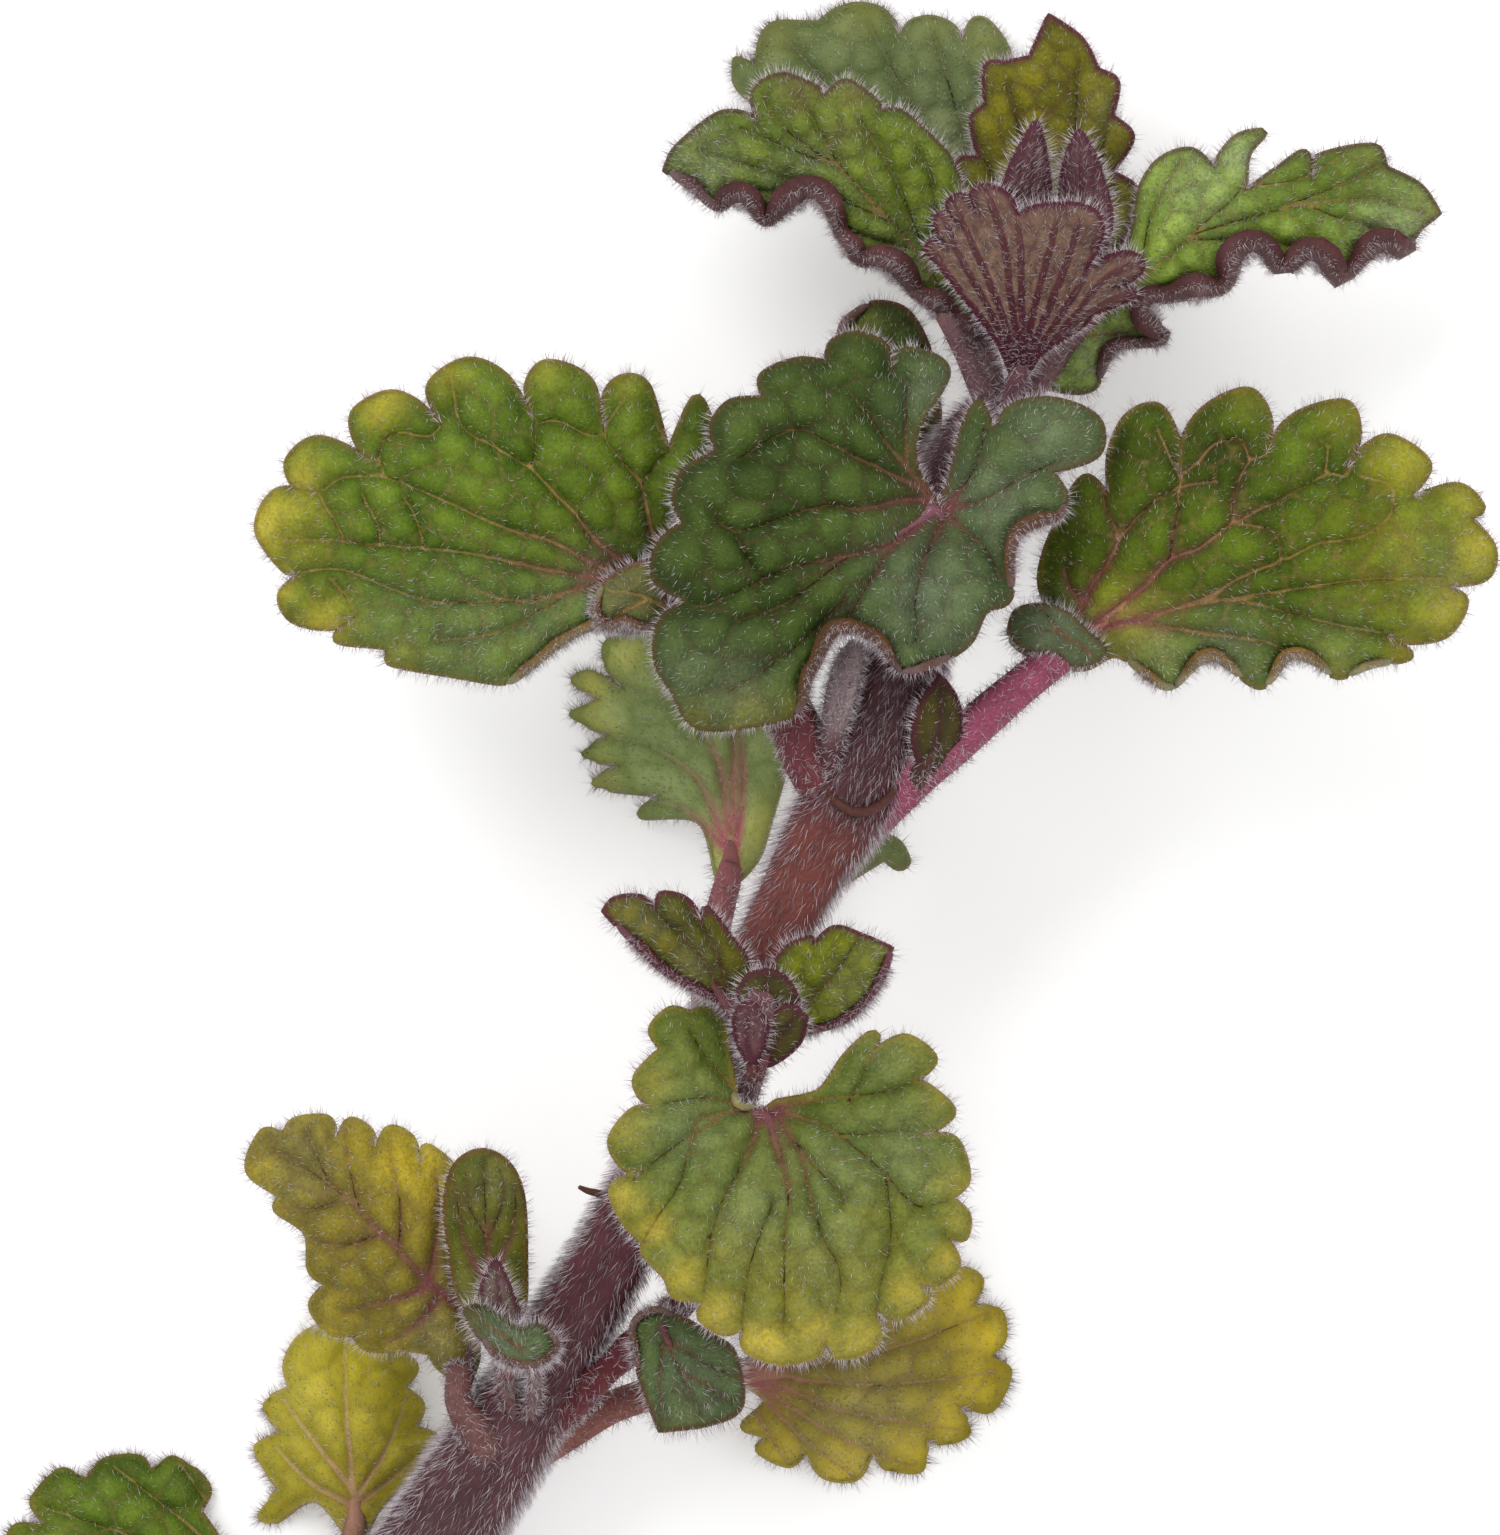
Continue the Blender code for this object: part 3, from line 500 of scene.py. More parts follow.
def blade_shell(spec, rng, seed):
    """The quilted blade: a thin closed shell with rolled margins, its tint,
    and which of its parts hairs grow on."""
    step = spec.get("step", 5.0)
    outline = spec["outline"]
    ring = smooth_line(outline, step, closed=True)
    keep = [0]
    for i in range(1, len(ring)):
        if np.linalg.norm(ring[i] - ring[keep[-1]]) > step * 0.45:
            keep.append(i)
    ring = ring[keep]
    # pull rolled stretches in, so that the roll ends on the drawn outline
    area = 0.5 * np.sum(ring[:, 0] * np.roll(ring[:, 1], -1) - np.roll(ring[:, 0], -1) * ring[:, 1])
    if area < 0:
        ring = ring[::-1]
    lo, hi = ring.min(0), ring.max(0)

    def margin(points, out):
        w = curl_at(points + out * 2, spec.get("curl", []))
        for _ in range(3):
            w = (np.roll(w, 1) + 2 * w + np.roll(w, -1)) / 4
        return w, 2.6 + spec.get("roll", 9.0) * np.clip(w, 0, 1.3)

    rt = np.roll(ring, -1, 0) - np.roll(ring, 1, 0)
    rt /= np.maximum(np.linalg.norm(rt, axis=1, keepdims=True), 1e-9)
    ro = np.stack([rt[:, 1], -rt[:, 0]], 1)
    rw, rr = margin(ring, ro)
    ring = ring - ro * (rr * np.where(rw > 0.08, 0.92, 0.80))[:, None]
    pulled = ring.copy()
    us = np.arange(lo[0], hi[0], step)
    vs = np.arange(lo[1], hi[1], step * 0.866)
    gu, gv = np.meshgrid(us, vs)
    gu = gu + (np.arange(len(vs)) % 2)[:, None] * step * 0.5
    q = np.stack([gu.ravel(), gv.ravel()], 1)
    q = q + rng.uniform(-0.12, 0.12, q.shape) * step
    q = q[inside(q, ring)]
    d, _ = to_line(q, np.concatenate([ring, ring[:1]]))
    q = q[d > step * 0.62]
    # rows of points along each vein, so that it shows as a fine line
    rows = []
    origin = np.array(spec["base"], float)
    lines = []
    for v in spec["veins"]:
        ln = smooth_line(v, 4.6)
        lines.append(ln)
        t = np.gradient(ln, axis=0)
        t /= np.maximum(np.linalg.norm(t, axis=1, keepdims=True), 1e-9)
        s = np.stack([-t[:, 1], t[:, 0]], 1)
        main = np.linalg.norm(ln[0] - origin) < 60
        al = np.linspace(0, 1, len(ln))[:, None]
        half = ((2.3 - 1.2 * al) if main else (1.5 - 0.5 * al)) * spec.get("vein_wide", 1.0)
        for k in (0.0, 1.0, -1.0):
            rows.append(ln + s * half * k)
        for k in (1.0, -1.0):
            rows.append(ln + s * (half + 1.9) * k)
    rows = np.concatenate(rows)
    rows = rows[inside(rows, ring)]
    d, _ = to_line(rows, np.concatenate([ring, ring[:1]]))
    rows = rows[d > step * 0.55]
    apart = 1.25
    cellid = {}
    keep_rows = []
    for i, p in enumerate(rows):
        key = (int(p[0] // apart), int(p[1] // apart))
        near = False
        for a in (-1, 0, 1):
            for b in (-1, 0, 1):
                for j in cellid.get((key[0] + a, key[1] + b), ()):
                    if (rows[j][0] - p[0]) ** 2 + (rows[j][1] - p[1]) ** 2 < apart * apart:
                        near = True
        if not near:
            cellid.setdefault(key, []).append(i)
            keep_rows.append(i)
    rows = rows[keep_rows]
    vein_d = np.full(len(q), 1e9)
    for ln in lines:
        dd, _ = to_line(q, ln)
        vein_d = np.minimum(vein_d, dd)
    q = q[vein_d > 5.6 * spec.get("vein_wide", 1.0)]
    pts = [Vector(p) for p in ring] + [Vector(p) for p in q] + [Vector(p) for p in rows]
    verts, _, faces, *_ = delaunay_2d_cdt(pts, [], [list(range(len(ring)))], 1, 1e-4)
    uv = np.array([(p.x, p.y) for p in verts])
    tris = np.array([f for f in faces if len(f) == 3], int)
    # turn them so that they face up: v runs down the sheet
    e1, e2 = uv[tris[:, 1]] - uv[tris[:, 0]], uv[tris[:, 2]] - uv[tris[:, 0]]
    flip = (e1[:, 0] * e2[:, 1] - e1[:, 1] * e2[:, 0]) > 0
    tris[flip] = tris[flip][:, ::-1]
    # one connected sheet: slips beyond a tight notch are dropped
    label = np.arange(len(tris))
    e_all = np.sort(np.concatenate([tris[:, [0, 1]], tris[:, [1, 2]], tris[:, [2, 0]]]), axis=1)
    owner = np.tile(np.arange(len(tris)), 3)
    order_e = np.lexsort((e_all[:, 1], e_all[:, 0]))
    e_s, o_s = e_all[order_e], owner[order_e]
    same = (e_s[1:] == e_s[:-1]).all(1)
    pair_a, pair_b = o_s[:-1][same], o_s[1:][same]
    while True:
        low_l = np.minimum(label[pair_a], label[pair_b])
        new = label.copy()
        np.minimum.at(new, pair_a, low_l)
        np.minimum.at(new, pair_b, low_l)
        new = new[new]
        if (new == label).all():
            break
        label = new
    tris = tris[label == np.bincount(label).argmax()]
    # the edge of the sheet, in order
    edges = {}
    for a, b, c in tris:
        for x, y in ((a, b), (b, c), (c, a)):
            edges[(x, y)] = edges.get((x, y), 0) + 1
    rim = {x: y for (x, y) in edges if (y, x) not in edges}
    loops, left = [], dict(rim)
    while left:
        s = next(iter(left))
        loop = [s]
        while True:
            nxt = left.pop(loop[-1], None)
            if nxt is None or nxt == s:
                break
            loop.append(nxt)
        loops.append(loop)
    loop = np.array(max(loops, key=len))
    used = np.unique(tris)
    edge = uv[loop]
    tang = np.roll(edge, -1, 0) - np.roll(edge, 1, 0)
    tang /= np.maximum(np.linalg.norm(tang, axis=1, keepdims=True), 1e-9)
    nrm = np.stack([-tang[:, 1], tang[:, 0]], 1)      # away from the blade
    test = inside(edge + nrm * step * 0.4, edge)
    if test.mean() > 0.5:
        nrm = -nrm
    nearest = np.linalg.norm(edge[:, None] - pulled[None], axis=2).argmin(1)
    w, radius = rw[nearest], rr[nearest]
    for _ in range(2):
        w = (np.roll(w, 1) + 2 * w + np.roll(w, -1)) / 4
        radius = (np.roll(radius, 1) + 2 * radius + np.roll(radius, -1)) / 4
    sign = np.where(w > 0.08, 1.0, -1.0)
    for _ in range(2):
        sign = (np.roll(sign, 1) + 2 * sign + np.roll(sign, -1)) / 4
    uv2 = uv
    # relief
    base = np.array(spec["base"], float)
    lines = [smooth_line(v, 8.0) for v in spec["veins"]]
    dm, _ = to_line(uv, np.concatenate([edge, edge[:1]]))
    dv = np.full(len(uv), 1e9)
    wid = np.zeros(len(uv))
    far = np.zeros(len(uv))
    for ln in lines:
        dd, al = to_line(uv, ln)
        start = np.linalg.norm(ln[0] - base)
        near0 = start < 60
        ww = ((4.6 - 2.6 * al) if near0 else (3.0 - 1.2 * al)) * spec.get("vein_wide", 1.0)
        better = dd / ww < dv / np.maximum(wid, 1e-6)
        better |= wid == 0
        dv = np.where(better, dd, dv)
        wid = np.where(better, ww, wid)
        far = np.where(better, al, far)
    cell = spec.get("cell", 38.0)
    span = np.arange(lo[0] - cell, hi[0] + cell, cell)
    rows = np.arange(lo[1] - cell, hi[1] + cell, cell * 0.87)
    su, sv = np.meshgrid(span, rows)
    su = su + (np.arange(len(rows)) % 2)[:, None] * cell / 2
    seeds = np.stack([su.ravel(), sv.ravel()], 1) + rng.uniform(-0.32, 0.32, (su.size, 2)) * cell
    away = uv - base
    dist = np.linalg.norm(seeds[None] - uv[:, None], axis=2)
    order = np.sort(dist, axis=1)
    which = dist.argmin(1)
    gap = (order[:, 1] - order[:, 0]) / 2
    crease1 = np.exp(-(dv / (wid * 1.5)) ** 2) * (-spec.get("ridge", 0.0) if spec.get("ridge") else 1.0)
    crease2 = np.exp(-(gap / 4.2) ** 2) * np.clip(dm / 26.0, 0, 1)
    broad = 1 - np.exp(-(np.minimum(dv, dm * 1.1) / (cell * 0.30)) ** 2)
    pillow = broad * (0.58 + 0.42 * (1 - np.exp(-(gap * 1.25 / (cell * 0.26)) ** 2)))
    quilt = spec.get("quilt", 0.26)
    edge_fade = blur_step(dm, 0, 10)
    z = spec["height"](uv2)
    z = z + 1.15 * quilt * (pillow - 0.55) - 0.12 * crease1 * (1.15 - 0.5 * far) * (quilt / 0.26)
    z = z - 0.07 * crease2 * (quilt / 0.26) * spec.get("net", 1.0)
    z = z - spec.get("droop", 0.22) * np.exp(-(dm / 13.0) ** 2)
    z = z + 0.05 * noise(uv, 16.0, seed) + 0.10 * noise(uv, 60.0, seed + 5)
    fold = spec.get("fold")
    if fold is not None:
        z = z + fold(uv)
    # tint
    c = spec["colours"]
    tone = rng.uniform(-1, 1, len(seeds))[which]
    # painted light and shade: lighter on the domes of the quilting (pillow), darker in the creases and sunken
    # veins (crease1, crease2), lighter on raised vein ridges; the cells' tone and the noise are random mottling
    light = np.clip(0.40 + 0.55 * (pillow - 0.45) + 0.16 * tone + 0.24 * noise(uv, 34.0, seed + 9)
                    - 0.25 * crease1 - 0.30 * crease2 * spec.get("net", 1.0), 0, 1)
    tint = mix(c["deep"], c["light"], light)
    yel = spots_mask(uv, spec.get("yellow", []))
    tint = mix(tint, c["tip"], np.clip(yel * (0.75 + 0.3 * noise(uv, 22.0, seed + 2)), 0, 1))
    # painted shade: the shade spots darken the tint in patches
    dark = spots_mask(uv, spec.get("shade", []))
    tint = tint * (1 - 0.45 * dark)[:, None]
    grey = spots_mask(uv, spec.get("silver", []))
    tint = mix(tint, c["down"], 0.55 * grey)
    half = np.where(wid > 0, wid * 0.5, 1.0)
    vein = blur_step(half + 1.6 - dv, 0.0, 1.5) * spec.get("vein_show", 0.85) * (1.0 - 0.30 * far)
    tint = mix(tint, c["vein"], np.clip(vein, 0, 1))
    fine = np.exp(-(gap / 1.7) ** 2) * spec.get("fine_show", 0.28) * np.clip(dm / 30.0, 0, 1)
    tint = mix(tint, c["vein"], fine)
    pink = spots_mask(uv, spec.get("pink", []))
    near_vein = np.exp(-(dv / (wid * 1.5)) ** 2)
    tint = mix(tint, srgb(128, 66, 78), np.clip(pink * near_vein, 0, 1))
    rim_w = spec.get("rim_show", 0.45)
    # painted light: each leaf's whole tint is scaled up by its own factor, lifting leaves that lie in the shade
    # of others and lightening the tint of the rest
    tint = tint * spec.get("bright", 1.0)
    tint = mix(tint, c["rim"], 0.7 * rim_w * np.exp(-(dm / 1.8) ** 2))
    # sheet: blade points, then rings round the margin
    low = spec.get("thick", 0.20) * 0.5
    zz = np.maximum(z, low + 0.01)
    pos = place(uv2[:, 0], uv2[:, 1], zz)
    angles = np.radians([38, 78, 122, 168, 205])
    keep_under = np.zeros(len(uv))
    all_pos, all_tint, all_under = [pos], [tint], [keep_under]
    ring_ids = [loop]
    count = len(uv)
    e0 = uv2[loop]
    ez = zz[loop]
    for a in angles:
        lim = np.where(w > 0.08, 1.0, 0.62)
        th = a * lim
        out_uv = e0 + nrm * (radius * np.sin(th))[:, None]
        up = sign * radius / 30.0 * (1 - np.cos(th))
        oz = np.maximum(ez + up, low + 0.01)
        all_pos.append(place(out_uv[:, 0], out_uv[:, 1], oz))
        show = blur_step(w, 0.05, 0.35)
        rt = mix(tint[loop], c["rim"], np.clip(rim_w * 0.8, 0, 1))
        rt = mix(rt, c["under"], show * (0.55 if a < 0.8 else 0.95))
        if a > 2.0:
            rt = mix(rt, c["rim"], (0.55 if a < 2.5 else 0.95) * show)
        all_tint.append(rt)
        all_under.append(show)
        ring_ids.append(np.arange(count, count + len(loop)))
        count += len(loop)
    p = np.concatenate(all_pos)
    t = np.concatenate(all_tint)
    m = len(loop)
    sheet = [tris]
    nx = (np.arange(m) + 1) % m
    for r0, r1 in zip(ring_ids[:-1], ring_ids[1:]):
        a, b, cc, d = r0, r0[nx], r1[nx], r1
        sheet.append(np.stack([b, a, d], 1))
        sheet.append(np.stack([b, d, cc], 1))
    sheet = np.concatenate(sheet)
    n0 = vertex_normals(p, sheet)
    thick = np.full(len(p), spec.get("thick", 0.20) * MM / 2)
    thick[ring_ids[-1]] *= 0.35
    top = p + n0 * thick[:, None]
    bot = p - n0 * thick[:, None]
    bot[:, 2] = np.maximum(bot[:, 2], 0.0)
    top[:, 2] = np.maximum(top[:, 2], 0.00003)
    total = len(p)
    last = ring_ids[-1]
    seam = np.concatenate([np.stack([last[nx], last, last + total], 1),
                           np.stack([last[nx], last + total, last[nx] + total], 1)])
    full = np.concatenate([sheet, sheet[:, ::-1] + total, seam])
    under = mix(c["under"], c["deep"], 0.25)
    under_t = np.tile(under, (total, 1))
    vshow = np.zeros(total)
    vshow[:len(uv)] = np.exp(-(dv / (wid * 1.1)) ** 2)
    under_t = mix(under_t, c["vein"], 0.5 * vshow)
    # a roll shows its outer side: the underside's tint there
    for k, a in enumerate(angles):
        rows = slice(len(uv) + k * m, len(uv) + (k + 1) * m)
        outer = mix(c["under"], c["rim"], (0.0, 0.05, 0.45, 0.85, 1.0)[k] * blur_step(w, 0.05, 0.35) + 0.1)
        mottle = noise(np.stack([np.arange(m) * 2.0, np.full(m, k * 9.0)], 1), 7.0, seed + 31)
        under_t[rows] = outer * (1 + 0.22 * mottle)[:, None]
    verts_all = np.concatenate([top, bot])
    tint_all = np.concatenate([t, under_t])
    info = dict(top=(top, sheet), uv=uv, dm=dm, n_flat=len(uv), loop=loop, w=w, base=base,
                ring_pos=[p[r] for r in ring_ids], edge_out=nrm, yel=yel, sheet=sheet, bot=bot,
                flat_tris=len(tris), nrm3=n0, grey=grey, rings=ring_ids)
    return verts_all, full, tint_all, info

# ---------------------------------------------------------------- the stem
# axis of the stem from the cut end to the tip: u, v, height, radius in units
STEM_AXIS = [
    (346, 1694, 1.82, 57), (372, 1648, 2.15, 60), (392, 1612, 2.75, 62),
    (420, 1568, 3.50, 58), (450, 1520, 4.20, 55), (480, 1472, 4.95, 54),
    (512, 1424, 5.80, 50), (540, 1378, 6.50, 44), (572, 1322, 7.20, 41),
    (604, 1268, 7.80, 39), (633, 1214, 8.30, 37), (662, 1158, 8.80, 36),
    (690, 1104, 9.20, 38), (714, 1056, 9.50, 43), (740, 1004, 9.80, 37),
    (776, 932, 10.20, 35), (806, 872, 10.50, 38), (832, 828, 10.80, 45),
    (852, 795, 11.00, 43), (872, 750, 11.10, 42), (892, 700, 11.10, 42),
    (908, 650, 11.00, 41), (924, 590, 10.80, 36), (938, 530, 10.50, 36),
    (950, 480, 10.10, 33), (974, 436, 9.30, 30), (992, 416, 8.70, 25),
    (1002, 405, 8.35, 13),
]

# ---------------------------------------------------------------- the leaves
# Each leaf: outline of its blade, heights (u, v, mm) that the blade's surface
# passes through, and the axis of its stalk (u, v, mm, radius in units).
LEAVES = {}

LEAVES["leaf_left"] = dict(
    outline=[
        (651, 625), (655, 546), (690, 500), (712, 440), (708, 413), (694, 398), (668, 453, 1),
        (648, 386), (626, 376), (606, 392), (603, 433, 1), (590, 380), (547, 362),
        (527, 385), (534, 421, 1), (505, 375), (466, 360), (429, 386), (442, 426, 1),
        (414, 400), (386, 393), (353, 413), (358, 445), (379, 463, 1), (320, 438),
        (288, 459), (294, 485), (320, 492, 1), (276, 491), (257, 529), (283, 569),
        (300, 574, 1), (280, 595), (292, 620), (330, 628), (356, 615, 1), (336, 640),
        (386, 648), (389, 663), (452, 675), (505, 683), (522, 675), (556, 648),
        (592, 628),
    ],
    heights=[
        (640, 585, 12.2), (520, 520, 13.2), (400, 500, 12.4), (265, 530, 9.4),
        (470, 370, 11.6), (600, 400, 12.2), (700, 420, 11.6), (340, 630, 10.0),
        (480, 675, 11.0), (600, 625, 12.6),
    ],
    stalk=[(790, 760, 11.8, 17), (776, 728, 12.0, 18), (735, 655, 12.1, 18),
           (690, 606, 12.1, 17), (640, 583, 12.2, 13), (590, 566, 12.6, 9)],
)

LEAVES["leaf_right"] = dict(
    outline=[
        (1060, 640), (1040, 580), (1058, 520), (1084, 477), (1109, 495, 1),
        (1110, 451), (1128, 415), (1159, 406), (1179, 442), (1180, 481, 1),
        (1185, 435), (1210, 404), (1250, 390), (1270, 419), (1265, 455, 1),
        (1283, 425), (1310, 408), (1348, 403), (1359, 435), (1345, 471, 1),
        (1366, 446), (1393, 437), (1429, 464), (1410, 498, 1), (1458, 485),
        (1483, 507), (1471, 518, 1), (1494, 549), (1486, 578), (1445, 586, 1),
        (1466, 601), (1448, 634), (1410, 642), (1384, 633, 1), (1411, 656),
        (1372, 666), (1338, 677), (1315, 663), (1289, 659), (1260, 687),
        (1211, 659), (1172, 687), (1149, 679), (1117, 655), (1085, 668),
        (1048, 664), (1011, 640), (1022, 612),
    ],
    heights=[
        (1088, 630, 12.4), (1200, 545, 13.4), (1350, 500, 12.2), (1480, 540, 9.6),
        (1160, 410, 11.6), (1250, 395, 11.6), (1350, 410, 10.8), (1338, 672, 10.8),
        (1180, 682, 11.9), (1022, 640, 11.4), (1060, 540, 12.4),
    ],
    stalk=[(936, 771, 11.6, 17), (962, 744, 11.8, 19), (1012, 696, 12.0, 20),
           (1060, 654, 12.3, 19), (1092, 628, 12.5, 15), (1140, 596, 13.1, 10)],
)

LEAVES["leaf_front"] = dict(
    outline=[
        (940, 508, 1), (917, 470), (917, 430), (948, 372), (917, 350), (893, 356),
        (892, 372, 1), (884, 344), (856, 334), (832, 342), (826, 362, 1), (796, 360),
        (762, 375), (763, 398, 1), (730, 402), (712, 425), (716, 452, 1), (685, 470),
        (674, 500), (684, 522, 1), (658, 545), (655, 580), (686, 600, 1), (660, 622),
        (656, 660), (672, 690), (702, 728), (793, 714), (812, 676), (838, 634), (874, 640),
        (898, 668), (926, 668), (968, 644), (985, 612), (1010, 598), (1017, 539),
        (1059, 517), (1066, 496), (1052, 472, 1), (1098, 454), (1098, 419),
        (1056, 400), (1014, 405), (993, 430, 1), (979, 402), (962, 430), (953, 470),
    ],
    heights=[
        (940, 510, 14.6), (850, 530, 16.6), (672, 580, 15.4), (740, 420, 15.6),
        (860, 345, 13.9), (780, 705, 14.4), (700, 722, 13.9), (900, 650, 15.4),
        (1010, 570, 15.6), (1090, 430, 14.4), (985, 420, 14.2), (935, 400, 13.9),
    ],
    stalk=[(936, 545, 12.6, 14), (939, 524, 13.6, 14), (930, 512, 14.6, 13),
           (880, 545, 16.2, 10)],
)

LEAVES["leaf_back_upper"] = dict(
    outline=[
        (918, 470), (870, 440), (848, 400), (842, 360), (840, 330), (852, 314),
        (875, 303), (905, 310), (925, 340), (935, 380), (938, 430),
    ],
    heights=[(925, 465, 7.2), (885, 400, 6.8), (845, 330, 5.6), (905, 312, 6.0)],
    stalk=[(938, 500, 8.4, 12), (930, 482, 7.6, 12), (912, 446, 7.1, 10)],
)

LEAVES["leaf_front_lower"] = dict(
    outline=[
        (766, 1109), (749, 1106, 1), (738, 1102), (729, 1056), (722, 1024), (706, 1009),
        (690, 1013, 1), (670, 1009), (651, 1029), (661, 1049, 1), (636, 1076),
        (640, 1096), (653, 1106, 1), (630, 1112), (610, 1142), (626, 1169), (646, 1169, 1),
        (616, 1182), (612, 1198), (626, 1225), (643, 1242, 1), (644, 1254), (666, 1278),
        (674, 1296), (703, 1301, 1), (700, 1318), (723, 1333), (743, 1328, 1),
        (746, 1350), (782, 1363), (819, 1354), (825, 1341, 1), (836, 1356), (860, 1354),
        (879, 1338), (875, 1308, 1), (898, 1318), (928, 1298), (918, 1283, 1),
        (938, 1283), (958, 1265), (948, 1238, 1), (965, 1238), (968, 1215), (952, 1198, 1),
        (968, 1178), (955, 1139), (918, 1135, 1), (942, 1125), (953, 1109), (928, 1086),
        (915, 1082, 1), (935, 1059), (908, 1037), (882, 1046), (869, 1062, 1),
        (878, 1036), (869, 1034), (845, 1056), (822, 1089), (802, 1097), (776, 1102),
    ],
    heights=[
        (766, 1109, 13.6), (790, 1200, 15.6), (786, 1355, 13.0), (640, 1100, 13.6),
        (625, 1200, 13.6), (700, 1300, 13.8), (930, 1060, 13.8), (955, 1240, 13.6),
        (890, 1320, 13.2), (690, 1020, 12.9), (870, 1180, 15.0),
    ],
    stalk=[(712, 1114, 11.1, 14), (738, 1120, 12.3, 14), (766, 1118, 13.7, 12),
           (780, 1160, 14.9, 10)],
)

LEAVES["leaf_back_lower"] = dict(
    outline=[
        (722, 884), (700, 822), (641, 816), (660, 795, 1), (592, 785), (620, 765, 1),
        (581, 755), (610, 735, 1), (569, 715), (600, 700, 1), (571, 682), (590, 670),
        (625, 690, 1), (603, 660), (606, 640), (630, 634), (660, 620), (690, 590), (740, 600),
        (775, 640), (790, 700), (786, 760), (770, 820), (755, 862),
    ],
    heights=[
        (735, 870, 5.2), (745, 760, 4.4), (700, 720, 3.4), (640, 700, 1.5),
        (575, 700, 0.1), (600, 780, 0.3), (615, 645, 0.3), (660, 812, 1.8),
        (785, 720, 3.6), (720, 600, 1.4),
    ],
    stalk=[(706, 1060, 7.2, 14), (706, 985, 6.7, 15), (718, 920, 6.0, 15),
           (733, 860, 5.1, 13), (744, 800, 4.6, 9)],
)

LEAVES["leaf_lower_left"] = dict(
    outline=[
        (466, 1312), (452, 1240), (450, 1190), (454, 1168), (426, 1146), (420, 1168, 1),
        (412, 1138), (389, 1128), (376, 1150, 1), (370, 1130), (350, 1120),
        (336, 1140, 1), (328, 1118), (295, 1120), (284, 1134, 1), (262, 1132), (248, 1170),
        (280, 1196, 1), (276, 1210), (306, 1233), (310, 1270), (326, 1284, 1), (311, 1306),
        (330, 1332), (353, 1334, 1), (368, 1349), (406, 1349), (429, 1352, 1), (440, 1368),
        (466, 1382), (478, 1350),
    ],
    heights=[
        (468, 1330, 7.3), (400, 1250, 8.6), (262, 1160, 7.0), (330, 1330, 6.2),
        (420, 1150, 8.2), (450, 1370, 6.3), (300, 1125, 7.4),
    ],
    stalk=[(458, 1400, 7.5, 14), (462, 1366, 7.5, 14), (462, 1326, 7.6, 12),
           (430, 1282, 8.2, 9)],
)

LEAVES["leaf_lower_right"] = dict(
    outline=[
        (737, 1372), (765, 1400), (743, 1426), (768, 1436, 1), (758, 1450), (788, 1465),
        (806, 1452, 1), (824, 1476), (856, 1478), (872, 1452, 1), (890, 1470),
        (923, 1471), (926, 1438, 1), (950, 1444), (971, 1432), (956, 1405, 1),
        (992, 1412), (1012, 1372), (992, 1356, 1), (1006, 1340), (1002, 1310), (972, 1306, 1),
        (981, 1280), (960, 1270), (930, 1290), (860, 1310), (790, 1335),
    ],
    heights=[
        (745, 1375, 4.4), (850, 1385, 3.8), (1008, 1350, 0.1), (960, 1440, 0.2),
        (870, 1476, 0.4), (760, 1440, 2.4), (960, 1275, 1.0), (800, 1330, 3.6),
    ],
    stalk=[(614, 1406, 5.3, 17), (656, 1392, 5.1, 17), (700, 1374, 4.8, 16),
           (740, 1370, 4.4, 13), (800, 1376, 4.1, 9)],
)

LEAVES["leaf_bottom_back"] = dict(
    outline=[
        (356, 1540), (316, 1500), (273, 1523), (258, 1515), (280, 1488, 1), (263, 1468),
        (255, 1445), (282, 1432, 1), (263, 1405), (290, 1388, 1), (286, 1362),
        (303, 1335), (340, 1322), (380, 1330), (403, 1352), (416, 1368), (404, 1388, 1),
        (422, 1405), (415, 1428, 1), (438, 1440), (430, 1480), (400, 1488), (378, 1510),
    ],
    heights=[
        (356, 1520, 2.1), (350, 1430, 2.6), (262, 1440, 0.2), (265, 1515, 0.2),
        (300, 1350, 0.8), (400, 1350, 1.6), (432, 1450, 1.5),
    ],
    stalk=[(340, 1576, 1.3, 12), (350, 1548, 1.6, 12), (356, 1520, 2.0, 12),
           (352, 1470, 2.4, 9)],
)

LEAVES["leaf_bottom_left"] = dict(
    outline=[
        (262, 1612), (240, 1570), (214, 1532), (200, 1512, 1), (208, 1486), (175, 1456),
        (152, 1470, 1), (140, 1455), (104, 1458), (86, 1480, 1), (60, 1468), (30, 1500),
        (44, 1524, 1), (12, 1526), (2, 1566), (26, 1588, 1), (10, 1612), (40, 1648),
        (72, 1644, 1), (84, 1674), (126, 1682), (144, 1656, 1), (168, 1674), (206, 1662),
        (214, 1634, 1),
    ],
    heights=[
        (262, 1612, 1.9), (130, 1570, 2.1), (8, 1560, 0.1), (110, 1676, 0.2),
        (120, 1458, 0.4), (200, 1500, 0.9),
    ],
    stalk=[(282, 1630, 2.0, 13), (262, 1614, 1.9, 12),
           (200, 1594, 2.0, 9)],
)

